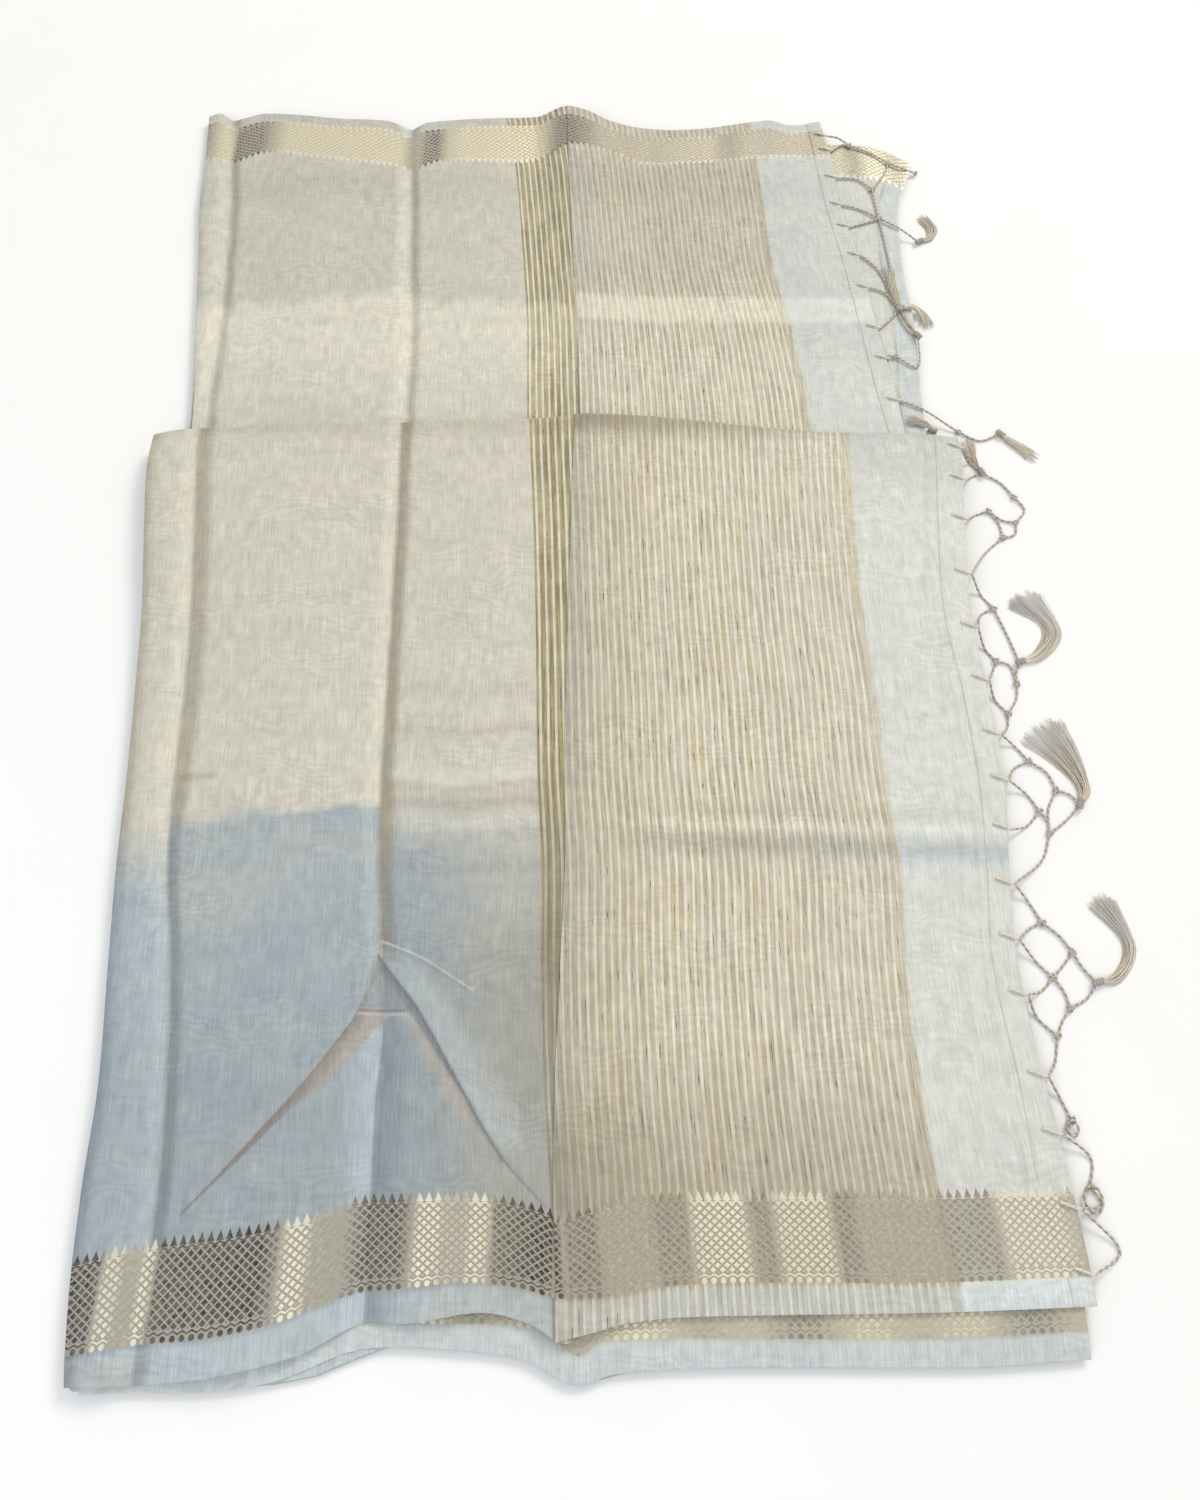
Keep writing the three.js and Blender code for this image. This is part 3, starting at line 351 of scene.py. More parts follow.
# %% [markdown]
# ## The surface of the folded cloth
# Cloth that has been ironed in layers keeps flat panels with soft swells between sharp creases. It
# could be sculpted by hand, but then two layers would never fit each other. So the height of the top
# layer is a sum of few simple forms: a level, the swells, the long ridge under the pallu's edge, the
# grooves of the creases, and the tuck, which opens in the near panel like a capital A. Each is a
# smooth function of the place, so the grid of any layer can be laid over it.

# %% Level, swells, ridge and creases
def swell(swells, guide, x, y):
    """The soft rise of each panel between its two guide lines."""
    height = np.zeros(np.broadcast(x, y).shape)
    for start_name, end_name, rise in swells:
        start, end = guide(start_name, y), guide(end_name, y)
        inside = (x >= start) & (x <= end)
        height += np.where(inside, rise * np.sin(np.pi * (x - start) / (end - start)) ** 2, 0)
    return height


def pressed(presses, y):
    """How much of the swells is left beside the creases pressed across them."""
    share = 1.0
    for at, width, depth in zip(presses["y"], presses["width"], presses["depth"]):
        share = share * (1 - depth * hill(y - at, width))
    return share


def ridge_share(guide, x, y):
    across = x - guide("ridge", y)
    return np.where(across < 0, hill(across, RIDGE_LEFT), hill(across, RIDGE_RIGHT))


def near_level(y):
    """The near half climbs as it runs on over the far half."""
    return mix(NEAR_LEVEL, NOSE_LEVEL, ease(y, *NOSE_RAMP))


def near_drop(x, y):
    """How far the face sinks towards the near edge and the fringe end."""
    from_edge = np.clip((y - edge_at(UNDER_NEAR_EDGE, x)) / NEAR_DROP[0], 0, 1)
    from_end = np.clip((near_guide("end", y) - x) / SIDE_DROP[0], 0, 1)
    return NEAR_DROP[1] * (1 - from_edge) ** 2 + SIDE_DROP[1] * (1 - from_end) ** 2


def grooves(guide, x, y, calm):
    """The narrow valleys of the two long creases, steeper on their right."""
    depth = 0
    for name, deep in (("crease1", 0.5), ("crease2", 0.9)):
        across = x - guide(name, y)
        depth = depth + deep * np.where(across < 0, hill(across, 9), hill(across, 4))
    return -depth * calm


def ripples(x, y):
    """Slight unevenness that a hand-folded cloth keeps."""
    long_waves = np.sin(x / 17 + 0.8 * np.sin(y / 61)) * np.sin(y / 43 + 0.6)
    short_waves = np.sin(x / 7.3 + y / 37) * np.sin(y / 19 + x / 53)
    return 0.22 * long_waves + 0.08 * short_waves


# %% The tuck of the near panel
# Lines of the tuck: the edge of the left panel, the foot below it, the fold of the right panel and
# the pressed crease between them
TUCK_LEFT = table(
    "y x",
    (-257, -224), (-225, -194), (-190, -165), (-170, -151), (-148, -137.5), (-128, -133), (-107, -128.5),
)
TUCK_FOOT = table(
    "y x",
    (-257, -222), (-249, -214.5), (-222, -187.5), (-202, -169), (-191, -155.5), (-173, -139),
    (-156, -125.5), (-149.5, -121), (-146, -134.5), (-128, -131), (-107, -128),
)
TUCK_RIGHT = table(
    "y x",
    (-257, -25), (-253, -27.3), (-227, -52.3), (-191, -75.9), (-146, -104), (-116, -127.8), (-107, -128.2),
)
TUCK_CREASE = table("y x", (-311, -121), (-245, -123), (-196, -124.4), (-158, -123), (-148, -124))
SMALL_RIDGE = table("x y", (-128.5, -107), (-104.4, -116.6), (-86.4, -127.8), (-70.9, -137.6))
TUCK_RISE = 2.8
TUCK_TOP = -107
TUCK_END = -257
FOLD_WIDTH = 0.9


def tuck_line(line, y):
    return read_table(line, "y", "x", y)


def tuck(x, y):
    """Both side panels stand up at the tuck, and the cloth between them stays down."""
    left, foot, right = (tuck_line(t, y) for t in (TUCK_LEFT, TUCK_FOOT, TUCK_RIGHT))
    taper = ease(y, TUCK_END - 2, TUCK_END + 45) * (1 - ease(y, TUCK_TOP - 22, TUCK_TOP + 14))
    left_side = np.where(x < left, hill(x - left, 26), 1 - ease(x, left, np.maximum(foot, left + 1.2)))
    right_side = np.where(x > right, hill(x - right, 24) ** 1.3, ease(x, right - FOLD_WIDTH, right))
    crease = -0.8 * hill(x - tuck_line(TUCK_CREASE, y), 10) * (1 - ease(y, -175, -150))
    return taper * TUCK_RISE * np.maximum(left_side, 0.85 * right_side) + crease


# %% Top faces
TURN_INSET = 4


def near_top(x, y):
    """The near half's top without its fine creases."""
    ridge = read_table(RIDGE_HEIGHT, "y", "rise", y) * ridge_share(near_guide, x, y)
    calm = 1 - 0.75 * ease(y, 190, 262)
    soft = swell(NEAR_SWELLS, near_guide, x, y) * pressed(NEAR_PRESSES, y) * calm
    return near_level(y) + ridge + soft - near_drop(x, y)


def near_face(x, y):
    """The near half's top with its creases, its tuck and the press crease across the pallu."""
    calm = 1 - ease(y, 215, 262)
    press = 0.7 * hill(y + 33 + 0.02 * x, 7) * ease(x, 10, 110)
    details = grooves(near_guide, x, y, calm) + tuck(x, y) + (ripples(x, y) + press) * calm
    return near_top(x, y) + details


def far_top(x, y):
    """The far half's top without its fine creases."""
    ridge = read_table(FAR_RIDGE_HEIGHT, "y", "rise", y) * ridge_share(far_guide, x, y)
    soft = swell(FAR_SWELLS, far_guide, x, y) * pressed(FAR_PRESSES, y) * ease(y, 285, 340)
    return FAR_LEVEL + ridge + soft


def far_face(x, y):
    """The far half's top with its creases, which start past the nose that lies over it."""
    awake = ease(y, 285, 320)
    press = 0.6 * hill(y - 382, 7)
    return far_top(x, y) + grooves(far_guide, x, y, awake) + (ripples(x, y) + press) * awake


def near_step(x, y):
    """How far the body lies below the pallu where the two overlap."""
    return OVERLAP_RISE * ridge_share(near_guide, x, y)


def far_step(x, y):
    return OVERLAP_RISE * ridge_share(far_guide, x, y)


def nose_turn(x):
    """Where the near half turns under itself: the turn's place, middle height and radius."""
    y = edge_at(NOSE_LINE, x) - TURN_INSET
    top, bottom = near_top(x, y), far_top(x, y) + NOSE_CLEARANCE
    radius = (top - bottom) / 2
    return edge_at(NOSE_LINE, x) - radius, (top + bottom) / 2, radius


print("Top face, mm: near", float(near_top(0.0, 0.0).round(2)), "far", float(far_top(0.0, 400.0).round(2)))

# %% [markdown]
# ## From a surface to a sheet
# A sheet is a grid of points. Its columns run along the guide lines and its rows across them. A plane
# with a displacement could also take the heights, but not the turned edges, which fold under. Three
# attributes go along with the points, because a woven pattern has to follow the threads and not the
# floor: `weave` holds the place in the pattern, `edges` the distance from the cut edges, and `tone`
# the painted cool light, painted shade and painted highlight there. A Solidify modifier then gives the
# thickness.

# %% Grids
def row_shares(*spans):
    """Shares of the way along, from spans of (up to, rows)."""
    shares, start = [0.0], 0.0
    for up_to, rows in spans:
        shares += [mix(start, up_to, i / rows) for i in range(1, rows + 1)]
        start = up_to
    return np.array(shares)


def strip_columns(*strips):
    """Columns between guide lines, from strips of (from, to, how many)."""
    columns = []
    for order, (start, end, count) in enumerate(strips):
        first = 0 if order == 0 else 1
        columns += [(start, end, i / count, 0.0, 0.0, 0.0) for i in range(first, count + 1)]
    return columns


def fold_columns(steps=7):
    """Columns of the left fold, from its turned-in leg up to the panel."""
    inner = [("left", "left", 0, LIP_RADIUS, np.pi, LIP_TURN_IN * share) for share in (1, 0.5)]
    turned = [("left", "left", 0, LIP_RADIUS, np.pi * i / steps, 0.0) for i in range(steps, 0, -1)]
    return inner + turned + [("left", "left", 0, LIP_RADIUS, 0.0, 0.0)]


def column_x(guide, column, y):
    """Where a column lies at each y."""
    start, end, share, shift = column[:4]
    return mix(guide(start, y), guide(end, y), share) + shift


def with_fold(x, y, z, up_y, up_z, column):
    """The point, with its left fold turned in below the face."""
    turn, inward = column[4:]
    down = LIP_RADIUS * (1 - np.cos(turn))
    return x - LIP_RADIUS * np.sin(turn) + inward, y - up_y * down, z - up_z * down


def snapped(x, y):
    """Columns moved onto the tuck's lines, so that its folds have clean edges."""
    inside = (y > TUCK_END) & (y < TUCK_TOP)
    for line, offsets in ((TUCK_LEFT, (0.0,)), (TUCK_RIGHT, (-FOLD_WIDTH, 0.0))):
        at = tuck_line(line, y)
        for offset in offsets:
            nearest = np.argmin(np.where(inside, np.abs(x - at - offset), 0), axis=1)
            for row, column in enumerate(nearest):
                if inside[row, column]:
                    x[row, column] = at[row, column] + offset
    return x


NOSE_STEPS = 10
NEAR_START_Y = -310.0
NOSE_Y = 268.0
FAR_END_Y = 605.0


def near_grid(columns, edge, rows, step=None, rise=0.0, tucked=False):
    """Points of a near sheet, from its edge over the nose and under it, and their flat places."""
    shares = row_shares(*rows)[:, None]
    start_x = np.array([column_x(near_guide, c, NEAR_START_Y) for c in columns])
    nose_x = np.array([column_x(near_guide, c, NOSE_Y) for c in columns])
    turn_y, turn_z, radius = nose_turn(nose_x)
    y = mix(edge_at(edge, start_x), turn_y, shares)
    x = np.stack([column_x(near_guide, c, y[:, i]) for i, c in enumerate(columns)], axis=1)
    if tucked:
        flat = [i for i, c in enumerate(columns) if c[4] == 0 and c[5] == 0]
        x[:, flat] = snapped(x[:, flat], y[:, flat])
    lower = step if step else (lambda a, b: 0 * a)
    blend = ease(shares, 0.93, 1)
    z = mix(near_face(x, y), near_top(x, y), blend) - lower(x, y) + rise
    z = np.where(shares >= 1, turn_z + radius - lower(x, y) + rise, z)
    points = [with_fold(x[:, i], y[:, i], z[:, i], 0.0, 1.0, c) for i, c in enumerate(columns)]
    grid = np.stack([np.stack(p, axis=-1) for p in points], axis=1)
    cloth = np.stack([x, y], axis=-1)
    turned, flat_length = [], []
    turns = [(np.pi * i / NOSE_STEPS, 0) for i in range(1, NOSE_STEPS + 1)]
    for angle, tuck_in in turns + [(np.pi, NOSE_TUCK * 0.5), (np.pi, NOSE_TUCK)]:
        reach = radius - lower(nose_x, turn_y) + rise
        up_y, up_z = np.sin(angle), np.cos(angle)
        row = [with_fold(nose_x[i], turn_y[i] - tuck_in + up_y * reach[i], turn_z[i] + up_z * reach[i],
                         up_y, up_z, c) for i, c in enumerate(columns)]
        turned.append(row)
        flat_length.append(turn_y + angle * radius + tuck_in)
    grid = np.concatenate([grid, np.array(turned)])
    more = np.stack([np.stack([nose_x, length], axis=-1) for length in flat_length])
    return grid, np.concatenate([cloth, more])


def far_grid(columns, edge, rows, step=None, rise=0.0):
    """Points of a far sheet, from below the nose to its edge, and their flat places."""
    shares = row_shares(*rows)[:, None]
    end_x = np.array([column_x(far_guide, c, FAR_END_Y) for c in columns])
    y = mix(FAR_START, edge_at(edge, end_x), shares)
    x = np.stack([column_x(far_guide, c, y[:, i]) for i, c in enumerate(columns)], axis=1)
    z = far_face(x, y) - (step(x, y) if step else 0) + rise
    points = [with_fold(x[:, i], y[:, i], z[:, i], 0.0, 1.0, c) for i, c in enumerate(columns)]
    return np.stack([np.stack(p, axis=-1) for p in points], axis=1), np.stack([x, y], axis=-1)


# %% What the weave knows about each point
def near_weave(x, y, edge):
    """Pattern place and distances from the cut edges on the near half."""
    first, plain = near_guide("stripes", y), near_guide("plain", y)
    outer, inner = edge_at(NEAR_BORDER_START, x), edge_at(NEAR_BORDER_TIPS, x)
    weave = (x - first, (y - outer) / (inner - outer) * BORDER, (x - first) / (plain - first) * STRIPES)
    edges = (y - edge_at(edge, x), x - near_guide("hem", y), y)
    return weave, edges


def far_weave(x, y, edge):
    """The same for the far half, whose border lies the other way round."""
    first, plain = far_guide("stripes", y), far_guide("plain", y)
    outer, inner = edge_at(edge, x) - FAR_SELVEDGE, edge_at(FAR_BORDER_TIPS, x)
    weave = (x - first, (outer - y) / (outer - inner) * BORDER, (x - first) / (plain - first) * STRIPES)
    edges = (edge_at(edge, x) - y, x - far_guide("hem", y), y)
    return weave, edges


# %% [markdown]
# ## Painted tone
# The cloth is sheer and faintly glossy. Where it faces the near side it reflects cool light, and it
# stays creamy where it faces the warm lamp; this cool cast is painted into its colour. The metal thread
# changes from dark to bright as the cloth tilts, and these highlights are painted too. Real transmission
# and reflection through all the layers could show this, but it is slow, and the layers below are guessed.
# Both change slowly over the cloth, so they are kept as numbers on its points: painted cool light from
# 0 to 1, painted shade with 0.5 as neutral, and painted highlight on the thread from 0 for dull thread to 1
# for full.

# %% Painted highlights of the metal thread along the border
NEAR_HIGHLIGHT = table(
    "x gloss",
    (-280, 0.05), (-259, 0.08), (-255, 0.8), (-249, 0.85), (-246, 0.5), (-239, 0.5), (-236, 0.95),
    (-232, 0.8), (-229, 0.1), (-176, 0.05), (-168, 0.25), (-162, 1.0), (-154, 0.95), (-150, 0.5),
    (-135, 0.45), (-127, 0.2), (-122, 0.1), (-104, 0.12), (-99, 0.4), (-95, 0.95), (-86, 0.95),
    (-82, 0.62), (-70, 0.6), (-67, 0.95), (-60, 0.9), (-55, 0.2), (-30, 0.05), (-24.5, 0.05),
    (-22.5, 0.5), (-19, 0.26), (-6, 0.24), (0, 0.47), (25, 0.47), (30, 0.3), (44, 0.34), (49, 0.9),
    (73, 1.0), (79, 0.36), (88, 0.33), (94, 0.86), (118, 0.9), (124, 0.3), (132, 0.33), (137, 0.5),
    (176, 0.5), (182, 0.38), (206, 0.36), (213, 0.9), (240, 0.95), (250, 0.6),
)
FAR_HIGHLIGHT = table(
    "x gloss",
    (-332, 0.2), (-320, 0.8), (-308, 0.8), (-304, 0.15), (-284, 0.2), (-272, 0.6), (-262, 0.95),
    (-180, 0.9), (-168, 0.95), (-161, 0.5), (-150, 0.45), (-146, 0.2), (-136, 0.15), (-128, 0.7),
    (-116, 1.0), (-60, 0.95), (-46, 0.8), (-36, 0.25), (-24, 0.15), (-12, 0.25), (0, 0.42),
    (28, 0.45), (36, 0.6), (66, 0.7), (92, 0.74), (102, 0.45), (110, 0.4), (122, 0.62), (150, 0.6),
    (166, 0.4), (188, 0.45),
)


# The painted highlight on the metal thread along the near border, slanted with the folds
def near_highlight(x, y):
    slant = np.where(x < near_guide("ridge", y), 0.03, -0.1) * (-245 - y)
    return np.clip(np.interp(x + slant, NEAR_HIGHLIGHT["x"], NEAR_HIGHLIGHT["gloss"]), 0, 1)


# %% Cool and shaded places
def segment_distance(x, y, start, end):
    """Distance from each point to the line between two places."""
    run = np.subtract(end, start)
    along = np.clip(((x - start[0]) * run[0] + (y - start[1]) * run[1]) / (run @ run), 0, 1)
    return np.hypot(x - start[0] - along * run[0], y - start[1] - along * run[1])


def beside(x, at, width):
    """A band that starts sharply at a line and fades out to the right of it."""
    return ease(x, at - 0.8, at + 0.8) * (1 - ease(x, at + 0.45 * width, at + width))


# Painted shade of slight waves across the middle of the near body, and of three creases in the pallu's plain
# end
BODY_WAVE_SHADES = table(
    "y depth",
    (58, 0.06), (30, 0.1), (-9, 0.1), (-20, 0.14), (-3, -0.1), (-32, -0.12), (-62, 0.05),
)
PALLU_CREASE_SHADES = [
    ((223.6, 94.5), (235, 90.7)), ((204, 39.8), (220.7, 45.5)), ((220.7, 45.5), (233.4, 54.2)),
]


def near_body_tone(x, y):
    """The painted cool light and painted shade of the near body."""
    left, c1, c2, first = (near_guide(n, y) for n in ("left", "crease1", "crease2", "stripes"))

    # Painted cool light on the panel between the creases and on the near part of the others
    cool_top = -21 + 0.09 * (x + 140) + 1.5 * np.sin(x / 9)
    blur = mix(9, 2, ease(x, -230, -190))
    panel = within(x, c1 + 1, c2, 1.5) * (1 - ease(y, cool_top - blur, cool_top + blur))
    panel = panel * (1 - 0.3 * hill(x + 226, 45) * hill(y + 84, 34) - 0.14 * hill(y + 50, 36))
    margin = (1 - ease(x, c1 - 1, c1 + 1)) * (1 - ease(y, -95, -15))
    lower = 1 - ease(y, -70, 0)
    middle = ease(x, c2, c2 + 3) * lower * mix(0.95, 0.38, ease(x, c2 + 8, first - 14))
    middle = middle * (1 - 0.85 * ease(x, first - 4, first + 2) * ease(y, -190, -110))
    cool = 0.92 * panel + margin + middle

    # The light falls away over each panel, and each crease throws a shadow to its right
    lean = mix(0.15, 0.25, ease(x, c2 + 5, first - 8)) * mix(0.95, 0.4, ease(y, -130, -70))
    shade = 0.54 + lean * ease(x, c2, c2 + 2) * lower
    shade = shade + 0.08 * (x < c2) * (1 - ease(y, -200, -120)) + 0.1 * ease(y, 255, 275)
    shade = shade + mix(0.34, 0.24, ease(y, -60, 0)) * beside(x, c1, mix(10, 15, ease(y, -60, 20)))
    fold = beside(x, c2, mix(14, 11, ease(y, -40, 10)))
    above = ease(y, -150, -105)
    shade = shade + mix(0.14, 0.3, above) * fold
    cool = np.clip(cool - 0.4 * fold * above, 0, 1)
    shade = shade - 0.12 * hill(x - c2 + 5, 8) * (x < c2) - 0.1 * hill(x - c1 + 5, 8) * (x < c1)
    shade = shade + mix(0.42, 0.24, ease(y, -160, 60)) * (1 - ease(x, left, left + 10))

    # Painted shade and painted light of slight waves, and of one small crease on the left
    for at, depth in zip(BODY_WAVE_SHADES["y"], BODY_WAVE_SHADES["depth"]):
        wave = y - at - 2.5 * np.sin(x / 11)
        shade = shade + depth * hill(wave, 7) * within(x, c2 + 12, first - 4, 12)
    little = y + 1 - 0.08 * (x + 252)
    shade = shade + (0.3 * hill(little + 1.6, 2) - 0.3 * hill(little - 1, 2)) * within(x, -260, -243, 6)

    # The left margin gets painted light near the edge; the stripes by the ridge and the corner get painted
    # shade
    shade = shade - 0.12 * margin * ease(y, -310, -270)
    shade = shade + 0.12 * ease(x, first - 4, first + 2) * within(y, -120, -20, 60)
    corner = (1 - ease(x, -240, -215)) * (1 - ease(y, -330, -318))
    return cool * (1 - 0.3 * corner), shade + 0.18 * corner


def near_pallu_tone(x, y):
    """The painted cool light and painted shade of the near pallu and its hem."""
    plain, hem, ridge = (near_guide(n, y) for n in ("plain", "hem", "ridge"))
    in_plain = ease(x, plain - 1, plain + 1)
    in_stripes = 1 - in_plain
    # Painted shade and painted light along the crease pressed across the pallu
    reach = ease(x, -10, 80)
    line = y + 33 + 0.035 * (x - 60)
    press = reach * (0.2 * hill(line + 12, 11) + 0.1 * hill(line - 10, 8) - 0.1 * hill(line, 5))

    # Painted cool light in the plain end, along the pressed crease, beside the ridge and towards the right
    cool = 0.48 * in_plain + reach * 0.28 * hill(line + 14, 16)
    cool = cool + 0.25 * hill(x - ridge, 26) + 0.22 * ease(x, 60, 170) * in_stripes

    # Painted light in the plain end; painted shade beside the ridge, near the edge, at the nose and along
    # creases by the hem
    shade = 0.5 + press - 0.3 * in_plain - 0.05 * ease(x, 90, 170) + 0.06 * in_plain * hill(y + 240, 40)
    shade = shade + 0.08 * hill(x - ridge - 4, 14) + 0.2 * (1 - ease(y, -240, -150)) * in_stripes
    shade = shade + 0.1 * hill(x - ridge - 20, 60) + 0.28 * ease(y, 255, 275)
    shade = shade + 0.2 * in_plain * ease(y, 190, 245)
    shade = shade + 0.1 * in_plain * (hill(x - hem + 6, 2) + 0.7 * hill(x - hem + 14 - y / 40, 3))
    for start, end in PALLU_CREASE_SHADES:
        shade = shade + 0.22 * hill(segment_distance(x, y, start, end), 1.5)
    return cool, shade


def far_tone(x, y):
    """The painted cool light and painted shade of the far half. A painted band of light crosses it beside
    the nose.
    """
    left, c1, c2, ridge, plain = (far_guide(n, y) for n in ("left", "crease1", "crease2", "ridge", "plain"))
    in_plain = ease(x, plain - 1, plain + 1)
    in_pallu = ease(x, ridge - 1, ridge + 1)
    in_stripes = in_pallu * (1 - in_plain)
    shade = 0.52 + 0.26 * beside(x, c1, 9) + 0.24 * beside(x, c2, 9) + 0.03 * (x > c2)
    shade = shade + 0.06 * within(x, c1 + 8, c2 - 14, 8) + 0.05 * hill(y - 530, 40)
    shade = shade - 0.12 * hill(x - c2 + 7, 9) * (x < c2) - 0.06 * hill(x - c1 + 8, 9) * (x < c1)
    shade = shade + 0.16 * (1 - ease(x, left, left + 7)) * (1 - 0.5 * ease(y, 480, 590))

    edge = 398 + 14 * hill(x + 165, 60) + 3 * np.sin(x / 9) + 2 * np.sin(x / 3.7)
    lit = (1 - ease(y, edge - 6, edge + 7)) * mix(0.35, 1, ease(y, 290, 376)) * (1 - in_pallu)
    lit_pallu = within(y, 382, 402, 6) * in_pallu + 0.25 * in_pallu * (1 - ease(y, 330, 384))
    cool = 0.12 + 0.42 * in_plain + 0.15 * hill(x - ridge - 8, 16)
    cool = cool + 0.14 * in_stripes * ease(y, 400, 440)
    shade = shade - 0.06 * in_plain * (1 - ease(y, 320, 350))
    shade = shade - 0.16 * lit - 0.22 * lit_pallu - 0.22 * in_plain
    return cool * (1 - 0.7 * lit), shade + 0.07 * in_stripes * ease(y, 396, 420)


def add_selvedge(cool, shade, weave_w, light=0.28):
    """The plain selvedge outside the border is one layer only; it gets more painted cool light and painted
    light.
    """
    outside = 1 - ease(weave_w, -3, 0)
    return np.maximum(cool, 0.72 * outside), shade - light * outside


# %% The mesh of a sheet
def grid_faces(rows, columns):
    """One face between each four neighbouring points."""
    corner = np.arange(rows * columns).reshape(rows, columns)
    quads = (corner[:-1, :-1], corner[:-1, 1:], corner[1:, 1:], corner[1:, :-1])
    return np.stack([q.ravel() for q in quads], axis=-1)


def set_attribute(mesh, name, values):
    layer = mesh.attributes.new(name, "FLOAT_VECTOR", "POINT")
    layer.data.foreach_set("vector", np.ascontiguousarray(values, np.float32).ravel())


def make_mesh(name, points, faces, material):
    mesh = bpy.data.meshes.new(name)
    mesh.from_pydata(points.tolist(), [], faces.tolist())
    mesh.polygons.foreach_set("use_smooth", [True] * len(mesh.polygons))
    mesh.materials.append(material)
    obj = bpy.data.objects.new(name, mesh)
    bpy.context.collection.objects.link(obj)
    return obj


def make_sheet(name, grid, weave, edges, tone, material, thickness=CLOTH):
    rows, columns = grid.shape[:2]
    obj = make_mesh(name, grid.reshape(-1, 3) * MM, grid_faces(rows, columns), material)
    shape = (rows, columns)
    for label, parts in (("weave", weave), ("edges", edges), ("tone", tone)):
        full = [np.broadcast_to(np.asarray(part, float), shape) for part in parts]
        set_attribute(obj.data, label, np.stack(full, axis=-1).reshape(-1, 3))
    shell = obj.modifiers.new("thickness", "SOLIDIFY")
    shell.thickness = thickness * MM
    shell.offset = -1
    obj.modifiers.new("crisp edges", "WEIGHTED_NORMAL")
    print(f"{name}: {rows} rows by {columns} columns")
    return obj


def settle(obj, slot, *nodes):
    """The piece rides on the body and stands for its nodes, whose CAD parts it hides. Its slot is not used.
    """
    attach(obj, "root")
    if nodes:
        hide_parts(*nodes)
    return obj

# %% [markdown]
# ## Cotton-silk with a woven border
# The cloth is woven with silk one way and fine cotton the other, which gives the eye a soft, slightly
# uneven sheen. Its threads are about 0.2 mm apart, too fine to show, so they are drawn coarser: faint
# streaks 0.6 mm wide and some centimetres long, along the warp. Where sheer layers lie on each other
# their threads beat into water marks, drawn as slow waves. The border is metal thread in a lattice of
# small diamonds, 4.95 mm apart, between two zigzags, with a row of dots outside and a row of temple
# spikes inside. A picture could carry the pattern, but it would blur close to the eye and stretch at
# the folds, so each motif is worked out from its place in the weave.
# Silk and cotton have an IOR near 1.54, so the shader's usual value is kept. The cloth starts from a
# roughness of 0.6. Metal thread is foil wound on a silk core: it is drawn 0.7 metallic and 0.4 rough.

# %% Parts of the weave
# Millimetres from the outer line of the border inwards
DIAMOND_PITCH = 4.95
DIAMOND_ROW = 4.45
DOT_ROW = 1.4
DOT_RADIUS = 1.5
OUTER_ZIGZAG = 3.9
LATTICE = (5.4, 40.2)
INNER_ZIGZAG = 41.0
TEMPLE_FOOT = 42.0


def split_attribute(tree, name):
    """The three numbers of an attribute, taken apart."""
    vector = node(tree, "ShaderNodeAttribute", output=1, attribute_name=name)
    return node(tree, "ShaderNodeSeparateXYZ", [vector]).node.outputs[:3]


def product(tree, *parts):
    """All parts multiplied, which is the place where all of them hold."""
    whole = parts[0]
    for part in parts[1:]:
        whole = node(tree, MATH, [whole, part], operation="MULTIPLY")
    return whole


def read_cloth(tree):
    """Pattern place u, w and s, distances d and h, the length v, then cool, shade and gloss."""
    return [part for name in ("weave", "edges", "tone") for part in split_attribute(tree, name)]


def streaks(tree, along, up, width, length, shift=0.0):
    """Long thin marks of a given width and length, in millimetres."""
    u = node(tree, MATH, [along, width], operation="DIVIDE")
    v = node(tree, MATH, [up, length], operation="DIVIDE")
    place = node(tree, "ShaderNodeCombineXYZ", [u, v, shift])
    return node(tree, NOISE, {"Vector": place, "Scale": 1.0, "Detail": 2.0, "Roughness": 0.6})


def softened(tree, value, low, high):
    """A soft edge in the pattern: 0 below low, 1 above high."""
    return node(tree, RANGE, [value, low, high, 0.0, 1.0], interpolation_type="SMOOTHSTEP")


def band(tree, value, low, high, blur):
    """A soft-edged strip of the pattern: 1 between low and high."""
    rising = softened(tree, value, low - blur, low + blur)
    falling = softened(tree, value, high + blur, high - blur)
    return product(tree, rising, falling)


def distance_in_cell(tree, value, pitch, shift=0.0):
    """Distance from the nearest line of a row of lines, as a share of their pitch from 0 to 0.5."""
    cells = node(tree, MATH, [value, pitch], operation="DIVIDE")
    moved = node(tree, MATH, [cells, shift], operation="ADD")
    part = node(tree, MATH, [moved], operation="FRACT")
    centred = node(tree, MATH, [part, 0.5], operation="SUBTRACT")
    return node(tree, MATH, [centred], operation="ABSOLUTE")


def diamond_lattice(tree, u, w, gloss):
    """Small diamonds in staggered rows. Where the highlight is painted, only their middles catch the light.
    """
    a = node(tree, MATH, [u, DIAMOND_PITCH], operation="DIVIDE")
    b = node(tree, MATH, [w, DIAMOND_ROW], operation="DIVIDE")
    rising = node(tree, MATH, [a, b], operation="ADD")
    falling = node(tree, MATH, [a, b], operation="SUBTRACT")
    p = distance_in_cell(tree, rising, 1.0)
    q = distance_in_cell(tree, falling, 1.0)
    reach = node(tree, MATH, [p, q], operation="MAXIMUM")
    reach = node(tree, MATH, [product(tree, gloss, 0.06), reach], operation="ADD")
    return product(tree, softened(tree, reach, 0.42, 0.34), band(tree, w, *LATTICE, 0.3))


def zigzag(tree, u, w, height):
    """A zigzag thread along the border."""
    tooth = distance_in_cell(tree, u, DIAMOND_PITCH)
    bend = node(tree, MATH, [tooth, 2.6, height - 0.65], operation="MULTIPLY_ADD")
    away = node(tree, MATH, [w, bend], operation="SUBTRACT")
    gap = node(tree, MATH, [away], operation="ABSOLUTE")
    return softened(tree, gap, 0.62, 0.34)


